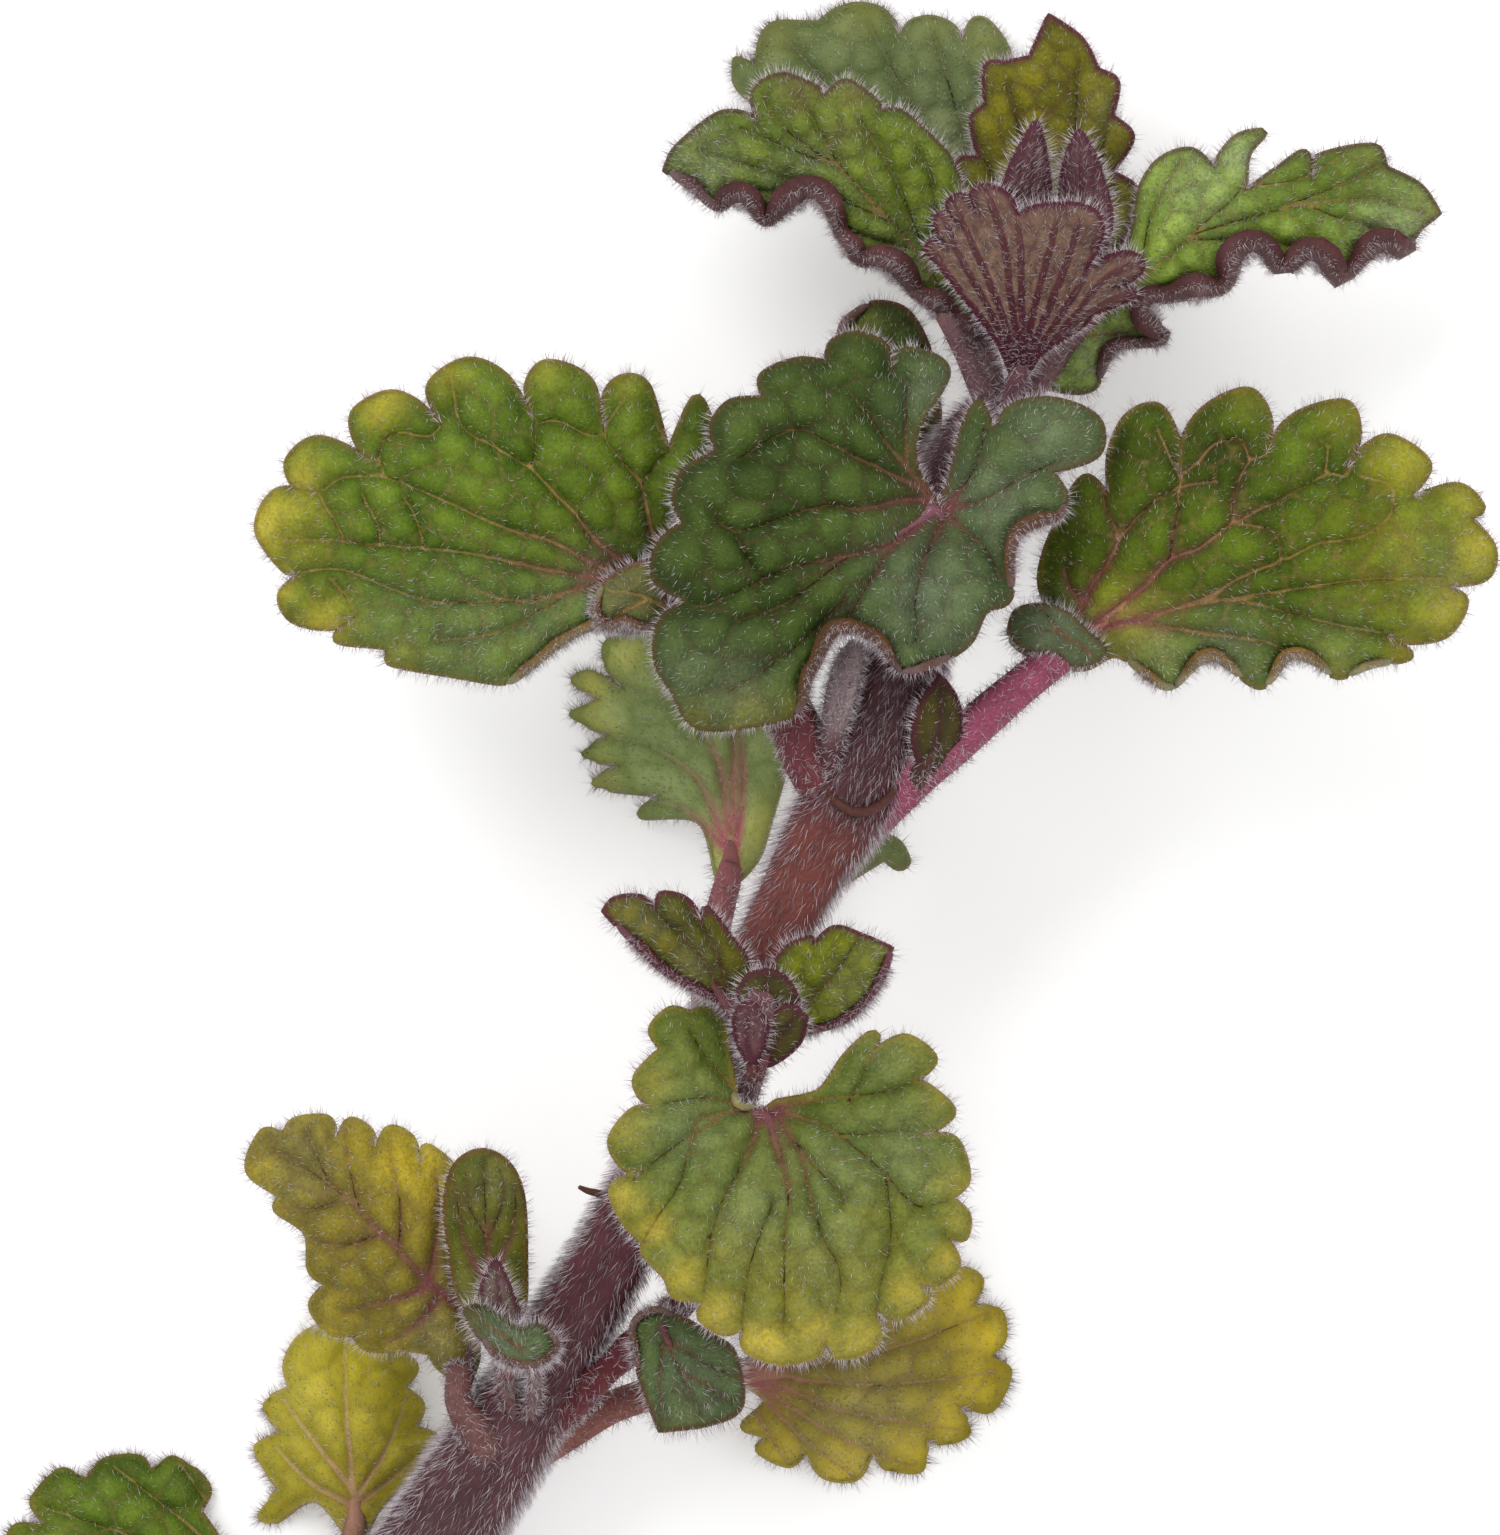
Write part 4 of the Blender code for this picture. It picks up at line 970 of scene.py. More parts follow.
LEAVES["leaf_top_left"] = dict(
    outline=[
        (978, 378), (972, 340), (930, 309), (909, 291), (881, 267), (853, 260),
        (828, 217), (810, 198), (768, 224), (740, 202), (719, 210), (691, 189),
        (665, 170, 1), (677, 147), (719, 114), (751, 116), (758, 126, 1), (754, 91),
        (782, 75), (817, 88), (823, 98, 1), (846, 81), (877, 102), (881, 112, 1),
        (902, 112), (940, 147), (954, 168), (970, 220), (976, 270), (986, 320), (990, 360),
    ],
    heights=[
        (980, 365, 8.9), (870, 210, 9.4), (740, 160, 8.0), (670, 168, 6.6),
        (785, 85, 7.4), (900, 120, 8.2), (955, 180, 8.6), (800, 215, 8.2),
        (900, 285, 9.0),
    ],
    stalk=[(976, 379, 8.9, 12), (964, 350, 9.0, 12), (936, 300, 9.2, 9)],
)

LEAVES["leaf_top_right"] = dict(
    outline=[
        (1040, 380), (1050, 350), (1090, 310), (1130, 240), (1140, 190), (1160, 160),
        (1191, 150), (1215, 169, 1), (1219, 157), (1238, 136), (1265, 132), (1248, 155),
        (1245, 192, 1), (1277, 169), (1305, 152), (1311, 180, 1), (1317, 157),
        (1374, 146), (1386, 168, 1), (1420, 186), (1439, 213, 1), (1417, 232), (1404, 262),
        (1383, 252), (1351, 275), (1328, 301), (1314, 260), (1282, 275), (1251, 251),
        (1222, 292), (1150, 304), (1168, 333), (1159, 344), (1116, 350), (1093, 388),
        (1059, 390),
    ],
    heights=[
        (1045, 372, 8.9), (1150, 260, 9.4), (1280, 210, 8.0), (1436, 214, 5.4),
        (1262, 135, 7.2), (1160, 165, 8.4), (1320, 290, 7.0), (1160, 340, 8.4),
        (1095, 382, 8.4),
    ],
    stalk=[(1034, 388, 8.8, 12), (1054, 362, 8.9, 12), (1110, 300, 9.2, 9)],
)

LEAVES["leaf_top_back"] = dict(
    outline=[
        (984, 346), (930, 280), (860, 210), (790, 130), (740, 90), (733, 58),
        (754, 62, 1), (760, 36), (775, 21), (817, 21, 1), (836, 8), (860, 2), (886, 10),
        (900, 36, 1), (912, 22), (932, 18), (952, 26), (962, 42, 1), (974, 20), (990, 24),
        (1010, 56), (1016, 110), (1008, 200), (1002, 290),
    ],
    heights=[
        (985, 340, 5.6), (930, 180, 4.0), (860, 8, 0.1), (745, 70, 0.5),
        (790, 130, 2.2), (975, 30, 1.0), (1008, 180, 3.9),
    ],
    stalk=[(992, 380, 7.2, 12), (988, 358, 6.2, 12), (970, 300, 5.1, 9)],
)

LEAVES["leaf_top_pointed"] = dict(
    outline=[
        (1030, 352), (998, 300), (968, 240), (958, 185), (958, 161), (979, 158, 1),
        (972, 119), (986, 105, 1), (986, 66), (1007, 63), (1030, 58, 1), (1049, 16, 1),
        (1081, 39), (1098, 70, 1), (1117, 82), (1112, 116, 1), (1132, 137), (1112, 172, 1),
        (1137, 193), (1120, 245), (1090, 290), (1060, 330),
    ],
    heights=[
        (1030, 345, 7.4), (1040, 220, 7.0), (1045, 90, 6.6), (1049, 18, 6.4),
        (965, 170, 6.2), (1130, 180, 6.2),
    ],
    stalk=[(1020, 372, 7.5, 10), (1026, 340, 7.4, 10), (1036, 280, 7.2, 8)],
)

LEAVES["leaf_young_fan"] = dict(
    outline=[
        (1014, 380), (996, 330), (951, 281), (930, 246), (937, 214), (954, 196),
        (979, 189), (993, 186), (1014, 207, 1), (1052, 207), (1091, 214), (1105, 239),
        (1088, 267, 1), (1119, 249), (1142, 260), (1126, 291), (1084, 323), (1049, 344),
        (1034, 370),
    ],
    heights=[
        (1020, 378, 10.4), (1030, 290, 12.6), (1040, 212, 13.6), (940, 230, 12.4),
        (1130, 262, 12.2), (985, 195, 13.2),
    ],
    stalk=[(1014, 394, 10.0, 10), (1020, 366, 10.8, 10), (1026, 320, 11.9, 9)],
)

LEAVES["bud_top_left"] = dict(
    outline=[
        (1034, 300), (1014, 250), (1002, 200), (1014, 160), (1037, 118, 1), (1046, 160),
        (1050, 210), (1046, 260),
    ],
    heights=[(1034, 298, 10.6), (1028, 200, 11.4), (1037, 120, 11.6)],
    stalk=[(1016, 372, 9.6, 6), (1028, 320, 10.4, 8), (1032, 270, 10.8, 9)],
)

LEAVES["bud_top_right"] = dict(
    outline=[
        (1062, 300), (1062, 250), (1060, 200), (1066, 160), (1079, 128, 1), (1096, 160),
        (1110, 210), (1106, 242), (1088, 276),
    ],
    heights=[(1064, 296, 10.4), (1084, 210, 10.7), (1079, 130, 10.8)],
    stalk=[(1038, 356, 9.7, 6), (1054, 322, 10.2, 7), (1070, 276, 10.6, 8)],
)

LEAVES["axil_leaf_left"] = dict(
    outline=[
        (736, 1012), (718, 1002), (673, 978), (650, 960), (637, 947), (604, 911, 1),
        (615, 899), (640, 897), (656, 908, 1), (661, 894), (684, 898), (698, 914),
        (701, 923, 1), (707, 908), (731, 938), (747, 960), (750, 985),
    ],
    heights=[(728, 1000, 13.6), (690, 950, 13.7), (606, 912, 12.6), (705, 912, 13.0),
             (670, 975, 13.0)],
    stalk=[(731, 1024, 13.9, 5), (724, 1006, 13.7, 6), (708, 978, 13.5, 6)],
)

LEAVES["axil_leaf_right"] = dict(
    outline=[
        (778, 1022), (784, 990), (774, 969), (787, 948), (811, 938), (814, 944, 1),
        (835, 928), (862, 936), (892, 949, 1), (886, 970), (878, 987), (854, 1015),
        (829, 1027), (799, 1032),
    ],
    heights=[(786, 1015, 13.2), (830, 975, 13.8), (890, 950, 13.0), (800, 945, 13.2),
             (845, 1020, 13.0)],
    stalk=[(790, 1052, 12.5, 7), (790, 1026, 12.9, 7), (808, 998, 13.5, 6)],
)

LEAVES["axil_leaf_back"] = dict(
    outline=[
        (806, 905), (822, 872), (848, 848), (876, 836), (898, 842), (908, 862),
        (898, 868), (884, 858, 1), (868, 868), (840, 885),
    ],
    heights=[(812, 898, 6.2), (860, 856, 5.6), (905, 860, 4.8)],
    stalk=[(744, 1028, 7.5, 8), (770, 966, 6.9, 8), (810, 900, 6.2, 7),
           (846, 866, 5.8, 6)],
)

LEAVES["axil_leaf_erect"] = dict(
    outline=[
        (496, 1330), (462, 1302), (449, 1239), (446, 1200), (456, 1165), (482, 1151),
        (508, 1164), (522, 1196), (525, 1256), (522, 1312),
    ],
    heights=[(494, 1320, 9.0), (486, 1230, 9.9), (482, 1155, 10.0), (450, 1220, 9.6),
             (524, 1230, 9.6)],
    stalk=[(502, 1374, 8.4, 8), (498, 1345, 8.7, 8), (492, 1306, 9.2, 7),
           (488, 1260, 9.7, 6)],
)

LEAVES["axil_leaf_small"] = dict(
    outline=[
        (466, 1312), (484, 1308), (519, 1330), (539, 1326), (558, 1345), (539, 1365),
        (505, 1362), (484, 1342),
    ],
    heights=[(474, 1314, 11.9), (514, 1346, 12.3), (554, 1346, 11.5)],
    stalk=[(534, 1396, 8.6, 7), (534, 1378, 10.0, 7), (528, 1362, 11.6, 7),
           (514, 1348, 12.2, 6)],
)

LEAVES["axil_leaf_grey"] = dict(
    outline=[
        (641, 1378), (632, 1327), (653, 1309), (680, 1318), (712, 1336), (734, 1354),
        (741, 1405), (710, 1423), (660, 1430, 1),
    ],
    heights=[(650, 1318, 10.0), (690, 1370, 10.4), (738, 1400, 9.4), (662, 1425, 9.0),
             (728, 1350, 10.0)],
    stalk=[(664, 1316, 9.5, 6), (662, 1328, 9.9, 6), (676, 1356, 10.3, 5)],
)

# buds in the axils: a short woolly shoot, thick at its head
BUDS = {
    "axil_shoot": dict(
        axis=[(750, 1082, 12.0, 13), (753, 1066, 12.4, 15), (757, 1042, 13.3, 16),
              (761, 1018, 14.6, 18), (763, 996, 15.0, 16), (765, 976, 15.0, 7)],
    ),
    "axil_bud_left": dict(
        axis=[(826, 758, 12.9, 10), (836, 726, 13.2, 20), (846, 694, 13.4, 22),
              (856, 668, 13.4, 12)],
    ),
    "axil_bud_right": dict(
        axis=[(920, 770, 12.6, 8), (936, 734, 12.9, 15), (946, 704, 13.0, 15),
              (944, 682, 12.9, 7)],
    ),
    "side_shoot": dict(
        axis=[(612, 1366, 7.9, 15), (630, 1350, 8.0, 18), (658, 1326, 8.3, 17),
              (690, 1296, 8.7, 14), (712, 1272, 8.9, 7)],
    ),
    "axil_bud_lower": dict(
        axis=[(506, 1358, 9.5, 6), (504, 1336, 10.2, 9), (501, 1306, 10.8, 10),
              (497, 1278, 11.0, 7), (496, 1262, 11.0, 3)],
    ),
}

# ------------------------------------------------------------------ the looks
# For each leaf: palette, where its veins start, its veins, and spots
# (u, v, reach, strength) of yellowing, silvery down, painted shade, pink veins
# and rolled-up margin.
LOOKS = {}

LOOKS["leaf_left"] = dict(
    colours=GREEN, slot="leaf_green", base=(640, 583),
    veins=[
        [(640, 584), (601, 578), (560, 572), (520, 563), (470, 553), (420, 548), (380, 545),
         (330, 540), (290, 541)],
        [(345, 540), (335, 520), (322, 497)], [(380, 545), (378, 525), (365, 498)],
        [(425, 548), (415, 515), (405, 498)],
        [(636, 576), (590, 562), (560, 545), (520, 532), (500, 526), (460, 508), (420, 490),
         (385, 478), (345, 478), (325, 490)],
        [(385, 476), (380, 460), (385, 440), (400, 433), (430, 437), (442, 426)],
        [(640, 572), (625, 562), (600, 545), (575, 515), (555, 495), (532, 470), (500, 450),
         (465, 430), (455, 400), (452, 380)],
        [(532, 470), (535, 440), (537, 425), (560, 422), (590, 437), (603, 433)],
        [(655, 546), (648, 520), (641, 486), (625, 465), (605, 436), (620, 405)],
        [(641, 486), (655, 465), (668, 450), (655, 425)],
        [(636, 588), (600, 585), (520, 600), (480, 590)],
        [(520, 600), (430, 600), (345, 570), (300, 572)], [(335, 582), (350, 600), (358, 613)],
        [(560, 598), (500, 630), (440, 640)],
    ],
    yellow=[(272, 520, 40, 1.0), (300, 470, 26, 0.85), (326, 622, 28, 0.9), (348, 405, 0.1, 0),
            (380, 402, 26, 0.8), (282, 588, 20, 0.8), (296, 545, 30, 0.45), (445, 372, 26, 0.35),
            (545, 372, 22, 0.3), (625, 384, 18, 0.3), (400, 660, 22, 0.35)],
    pink=[(610, 575, 60, 0.85), (540, 566, 40, 0.5)],
    silver=[(470, 640, 64, 0.42), (400, 625, 46, 0.3), (600, 600, 46, 0.5), (540, 630, 50, 0.45)],
    shade=[(655, 560, 36, 0.55)],
    curl=[(612, 612, 34, 0.75), (645, 605, 26, 0.9), (560, 648, 24, 0.45), (532, 672, 18, 0.4)],
    stalk_tint=srgb(112, 62, 66),
    stalk=[(856, 830, 10.4, 28), (832, 796, 11.1, 29), (808, 758, 11.6, 28), (792, 718, 12.0, 26),
           (762, 668, 12.1, 22), (696, 608, 12.1, 17), (640, 583, 12.2, 13), (590, 566, 12.6, 9)],
)
LOOKS["leaf_right"] = dict(
    colours=RIGHT, slot="leaf_green", base=(1088, 626),
    veins=[
        [(1090, 630), (1140, 620), (1180, 607), (1240, 597), (1300, 588), (1360, 580), (1440, 578)],
        [(1092, 626), (1120, 622), (1200, 600), (1240, 577), (1290, 557), (1320, 543), (1360, 537),
         (1385, 520), (1392, 503), (1388, 485), (1360, 478)],
        [(1280, 560), (1278, 540), (1265, 528), (1230, 525)],
        [(1092, 624), (1098, 620), (1140, 590), (1170, 560), (1200, 548), (1230, 525), (1270, 505),
         (1310, 483), (1330, 475), (1345, 478), (1353, 465)],
        [(1230, 525), (1235, 490), (1250, 462), (1265, 457)],
        [(1250, 462), (1240, 440), (1215, 445), (1200, 462), (1180, 478)],
        [(1325, 475), (1327, 450)],
        [(1080, 612), (1090, 590), (1110, 560), (1118, 540), (1105, 505), (1103, 490), (1090, 475)],
        [(1118, 543), (1135, 520), (1160, 497), (1180, 485), (1170, 460), (1157, 430)],
        [(1170, 560), (1173, 535), (1180, 510), (1180, 490), (1215, 482)],
        [(1088, 600), (1072, 590), (1065, 570)],
        [(1140, 622), (1200, 632), (1260, 640), (1300, 655)],
        [(1240, 600), (1320, 620), (1380, 632)],
    ],
    yellow=[(1450, 605, 36, 0.75), (1478, 545, 34, 0.9), (1466, 505, 22, 0.85), (1400, 462, 30, 0.8),
            (1345, 412, 26, 0.4), (1410, 560, 70, 0.35), (1125, 620, 42, 0.5), (1245, 398, 20, 0.25),
            (1405, 650, 24, 0.5), (1330, 668, 22, 0.3)],
    pink=[(1110, 600, 70, 1.0), (1160, 560, 70, 0.8), (1220, 500, 60, 0.5), (1110, 520, 50, 0.5)],
    silver=[(1045, 640, 36, 0.95), (1225, 655, 44, 0.6), (1160, 655, 40, 0.5), (1330, 650, 40, 0.3),
            (1440, 570, 40, 0.25)],
    shade=[(1075, 560, 34, 0.6), (1060, 600, 26, 0.5), (1140, 455, 50, 1.0), (1225, 455, 52, 1.0),
           (1110, 530, 44, 0.5), (1180, 500, 40, 0.4)],
    curl=[(1208, 662, 22, 0.7), (1295, 662, 24, 0.65), (1148, 676, 20, 0.4), (1040, 655, 26, 0.4),
          (1370, 664, 18, 0.3)],
    stalk_tint=srgb(160, 84, 108), vein_show=0.95,
    stalk=[(860, 822, 10.5, 28), (886, 798, 11.0, 27), (926, 764, 11.5, 24), (966, 733, 11.8, 22),
           (1014, 692, 12.0, 20), (1060, 654, 12.3, 19), (1092, 628, 12.5, 15), (1140, 596, 13.1, 10)],
)
LOOKS["leaf_front"] = dict(
    colours=DARK, slot="leaf_dark", base=(938, 508), quilt=0.34, cell=44.0,
    veins=[
        [(940, 508), (915, 525), (890, 545), (850, 555), (800, 565), (765, 578), (740, 590),
         (715, 602), (700, 606)],
        [(765, 578), (750, 560), (738, 540), (735, 532)],
        [(925, 520), (890, 550), (870, 580), (855, 605), (845, 625)],
        [(935, 505), (905, 500), (860, 510), (830, 505), (790, 515), (740, 530), (715, 520)],
        [(930, 500), (915, 480), (890, 450), (870, 420), (850, 395)],
        [(928, 495), (880, 470), (830, 445), (800, 430), (770, 440), (740, 460)],
        [(945, 515), (925, 560), (915, 600), (918, 640)],
        [(950, 510), (985, 500), (1020, 480), (1060, 460)],
        [(950, 505), (975, 470), (985, 430)],
        [(850, 555), (790, 600), (740, 620)], [(845, 600), (790, 650), (730, 690)],
        [(905, 465), (905, 420), (905, 380)],
        [(952, 520), (985, 550), (1000, 580)],
    ],
    yellow=[(745, 715, 28, 0.7), (700, 716, 18, 0.6), (790, 705, 18, 0.5), (845, 645, 14, 0.3)],
    pink=[(940, 508, 26, 1.0), (905, 525, 40, 0.7), (860, 552, 60, 0.35)],
    silver=[(930, 600, 60, 0.75), (1000, 500, 56, 0.7), (1050, 440, 46, 0.7), (735, 690, 44, 0.55),
            (930, 395, 34, 0.6), (900, 560, 40, 0.35), (690, 670, 36, 0.45), (880, 640, 34, 0.6)],
    shade=[(905, 380, 22, 0.3), (735, 560, 30, 0.25), (740, 480, 34, 0.2), (780, 420, 30, 0.15)],
    curl=[(838, 640, 30, 1.0), (812, 676, 24, 0.7), (874, 645, 22, 0.6), (1035, 534, 26, 0.9),
          (1012, 560, 18, 0.5), (930, 668, 20, 0.25)],
    stalk_tint=srgb(140, 96, 104),
)
LOOKS["leaf_back_upper"] = dict(
    colours=DARK, slot="leaf_dark", base=(920, 468), rim_show=0.9,
    curl=[(850, 320, 20, 0.3)], yellow=[(862, 330, 24, 0.4)], stalk_tint=srgb(112, 68, 72),
)
LOOKS["leaf_front_lower"] = dict(
    colours=FAN, slot="leaf_green", base=(766, 1108), quilt=0.30,
    veins=[
        [(766, 1109), (775, 1140), (789, 1190), (785, 1240), (784, 1300), (783, 1330)],
        [(760, 1112), (750, 1150), (735, 1180), (720, 1210), (710, 1250), (705, 1290)],
        [(775, 1200), (755, 1250), (745, 1290), (742, 1325)],
        [(755, 1110), (700, 1120), (690, 1150), (680, 1185), (660, 1215), (645, 1240)],
        [(752, 1108), (715, 1100), (690, 1100), (665, 1105)],
        [(745, 1102), (715, 1070), (700, 1050), (690, 1030)],
        [(775, 1115), (800, 1150), (830, 1185), (845, 1200)],
        [(800, 1150), (820, 1230), (840, 1270), (835, 1310)],
        [(778, 1112), (820, 1125), (850, 1145), (885, 1175), (915, 1205), (945, 1200)],
        [(780, 1108), (830, 1100), (870, 1095), (900, 1090), (915, 1082)],
        [(835, 1135), (870, 1135), (905, 1130)], [(850, 1100), (865, 1075), (869, 1062)],
        [(885, 1175), (890, 1230), (880, 1280), (875, 1308)],
        [(720, 1120), (670, 1150), (635, 1180)],
    ],
    yellow=[(765, 1345, 34, 1.0), (820, 1335, 34, 0.9), (860, 1338, 26, 0.95), (718, 1308, 28, 1.0),
            (684, 1278, 24, 1.0), (655, 1228, 22, 0.9), (628, 1200, 20, 0.9), (905, 1292, 26, 0.9),
            (945, 1258, 20, 0.85), (780, 1290, 52, 0.5), (850, 1280, 50, 0.4), (720, 1250, 36, 0.35),
            (955, 1180, 22, 0.55), (630, 1130, 20, 0.4), (956, 1218, 18, 0.6), (935, 1100, 18, 0.35),
            (910, 1045, 22, 0.3), (655, 1085, 18, 0.35), (880, 1230, 40, 0.25)],
    pink=[(766, 1112, 26, 1.2), (776, 1150, 26, 0.9), (789, 1186, 20, 0.5)],
    silver=[(690, 1130, 44, 0.5), (740, 1060, 0.1, 0), (905, 1150, 46, 0.45), (750, 1220, 50, 0.4),
            (840, 1170, 46, 0.4), (885, 1060, 30, 0.3), (820, 1240, 50, 0.3)],
    shade=[(738, 1098, 16, 0.35)],
    curl=[(742, 1104, 10, 0.3)],
    stalk_tint=srgb(132, 84, 88),
)
LOOKS["leaf_back_lower"] = dict(
    bright=2.0,
    colours=BACK, slot="leaf_green", base=(735, 862), quilt=0.22, soft=True,
    veins=[
        [(735, 862), (744, 800), (742, 740), (730, 660)],
        [(730, 850), (700, 780), (650, 745), (610, 738)],
        [(728, 850), (690, 810), (650, 800), (605, 780)],
        [(732, 830), (715, 750), (670, 700), (600, 680)],
        [(736, 820), (730, 720), (680, 660), (640, 640)],
    ],
    yellow=[(590, 690, 26, 0.7), (600, 770, 22, 0.6), (625, 655, 24, 0.5), (600, 725, 20, 0.6),
            (765, 830, 30, 0.5), (730, 850, 30, 0.5)],
    pink=[(738, 840, 46, 1.0), (742, 780, 50, 0.6)], fine_show=0.12, vein_show=0.55,
    stalk_tint=srgb(150, 96, 98),
)
LOOKS["leaf_lower_left"] = dict(
    colours=YELLOW, slot="leaf_yellow", base=(466, 1312), quilt=0.26,
    veins=[
        [(466, 1312), (430, 1282), (380, 1230), (333, 1186), (275, 1150)],
        [(400, 1250), (400, 1200), (390, 1150)], [(430, 1280), (438, 1220), (436, 1170)],
        [(360, 1212), (350, 1165), (345, 1130)], [(330, 1184), (315, 1150), (308, 1130)],
        [(430, 1285), (390, 1300), (345, 1310)], [(440, 1296), (415, 1325), (390, 1340)],
        [(380, 1235), (340, 1245), (310, 1240)], [(345, 1200), (310, 1210), (285, 1205)],
    ],
    yellow=[(440, 1190, 30, 1.0), (400, 1165, 34, 0.9), (430, 1160, 24, 1.0), (360, 1150, 26, 0.5),
            (330, 1335, 24, 0.55), (395, 1340, 22, 0.4), (265, 1170, 18, 0.5)],
    shade=[(440, 1300, 30, 0.2), (320, 1170, 30, 0.15)],
    silver=[(300, 1160, 46, 0.35), (440, 1340, 30, 0.5)],
    pink=[(440, 1292, 60, 0.9), (390, 1240, 50, 0.6)],
    stalk_tint=srgb(124, 88, 84),
)
LOOKS["leaf_lower_right"] = dict(
    bright=1.20,
    colours=YELLOW, slot="leaf_yellow", base=(745, 1372), quilt=0.26, soft=True,
    yellow=[(990, 1330, 34, 0.9), (980, 1385, 30, 0.8), (950, 1290, 30, 0.7), (840, 1462, 26, 0.7),
            (905, 1455, 26, 0.8), (770, 1445, 24, 0.5), (950, 1420, 24, 0.7)],
    silver=[(860, 1400, 60, 0.3)], pink=[(760, 1375, 40, 0.8)], stalk_tint=srgb(140, 92, 84),
)
LOOKS["leaf_bottom_back"] = dict(
    bright=1.12,
    colours=PALE, slot="leaf_yellow", base=(356, 1520), quilt=0.20, soft=True, fine_show=0.10,
    veins=[
        [(356, 1520), (352, 1470), (348, 1420), (345, 1345)],
        [(354, 1500), (385, 1450), (405, 1400)], [(353, 1490), (315, 1440), (285, 1400)],
        [(354, 1505), (310, 1480), (280, 1450)], [(354, 1505), (395, 1475), (425, 1450)],
    ],
    yellow=[(350, 1360, 40, 0.4), (400, 1400, 36, 0.3)],
    shade=[(300, 1500, 30, 0.2)], pink=[(356, 1520, 30, 0.8), (352, 1470, 40, 0.3)],
    stalk_tint=srgb(168, 128, 108),
)
LOOKS["leaf_bottom_left"] = dict(
    colours=GREEN, slot="leaf_green", base=(262, 1612), quilt=0.30,
    yellow=[(20, 1500, 26, 0.3)], stalk_tint=srgb(120, 80, 76),
)
LOOKS["leaf_top_left"] = dict(
    bright=1.18,
    colours=CROWN, slot="leaf_green", base=(978, 366), quilt=0.30, cell=30.0, roll=16.0, wool=1.15, dense=1.5,
    veins=[
        [(975, 360), (940, 290), (895, 225), (840, 170), (780, 125), (765, 95)],
        [(940, 290), (900, 190), (860, 120)], [(930, 265), (935, 200), (920, 150)],
        [(895, 225), (830, 195), (760, 170), (700, 150)], [(880, 215), (830, 150), (800, 95)],
        [(915, 250), (850, 230), (790, 195), (730, 190)],
        [(955, 320), (955, 250), (950, 200)], [(830, 165), (790, 150), (740, 130)],
    ],
    silver=[(710, 175, 40, 0.45), (800, 190, 46, 0.3), (900, 270, 40, 0.35), (700, 130, 24, 0.25)],
    yellow=[(800, 90, 26, 0.6), (850, 96, 20, 0.6), (700, 135, 16, 0.25), (840, 130, 26, 0.3)],
    curl=[(690, 189, 20, 0.35), (738, 210, 24, 0.85), (804, 216, 30, 1.25), (846, 252, 20, 0.8),
          (884, 284, 30, 1.2), (930, 318, 26, 1.0), (962, 344, 24, 0.9)],
    stalk_tint=srgb(132, 100, 104), rim_show=0.6,
)
LOOKS["leaf_top_right"] = dict(
    bright=1.95,
    colours=dict(CROWN, deep=srgb(82, 98, 38), light=srgb(122, 140, 66)), slot="leaf_green", base=(1046, 374),
    quilt=0.30, cell=30.0, roll=16.0, wool=1.15, dense=1.5,
    veins=[
        [(1048, 372), (1090, 330), (1140, 280), (1190, 235), (1240, 190), (1262, 140)],
        [(1190, 235), (1280, 210), (1360, 200), (1420, 212)],
        [(1240, 190), (1300, 180), (1340, 158)], [(1280, 208), (1340, 185), (1380, 165)],
        [(1140, 280), (1150, 220), (1180, 165)], [(1190, 240), (1250, 240), (1300, 248)],
        [(1300, 205), (1360, 225), (1400, 240)], [(1120, 300), (1180, 285), (1215, 280)],
        [(1090, 335), (1130, 330), (1150, 325)],
    ],
    silver=[(1200, 190, 40, 0.3), (1100, 350, 40, 0.4), (1240, 160, 24, 0.5), (1390, 236, 34, 0.6)],
    shade=[(1385, 180, 50, 0.75), (1310, 180, 44, 0.6), (1260, 215, 24, 0.3)],
    yellow=[(1200, 165, 26, 0.1), (1370, 158, 20, 0.3), (1425, 210, 16, 0.4)],
    curl=[(1110, 344, 26, 0.5), (1150, 318, 26, 0.9), (1196, 300, 26, 1.1), (1222, 288, 14, 0.5),
          (1250, 268, 22, 1.35), (1284, 280, 14, 0.6), (1314, 276, 22, 1.4), (1344, 286, 14, 0.6),
          (1384, 264, 24, 1.2)],
    stalk_tint=srgb(132, 100, 104), rim_show=0.6,
)
LOOKS["leaf_top_back"] = dict(
    colours=BACK, slot="leaf_green", base=(985, 335), quilt=0.30, soft=True, fine_show=0.15,
    yellow=[(860, 14, 26, 0.5), (775, 40, 22, 0.4), (985, 40, 22, 0.3), (930, 30, 20, 0.3)],
    silver=[(960, 140, 60, 0.3)], stalk_tint=srgb(120, 90, 90),
)
LOOKS["leaf_top_pointed"] = dict(
    bright=1.30, net=0.6,
    colours=OLIVE, slot="leaf_purple", base=(1032, 345), quilt=0.20, cell=26.0, wool=1.0, fine_show=0.5,
    yellow=[(0, 0, 1, 0)], silver=[(1100, 110, 24, 0.2)], rim_show=1.0,
    stalk_tint=srgb(110, 60, 66),
)
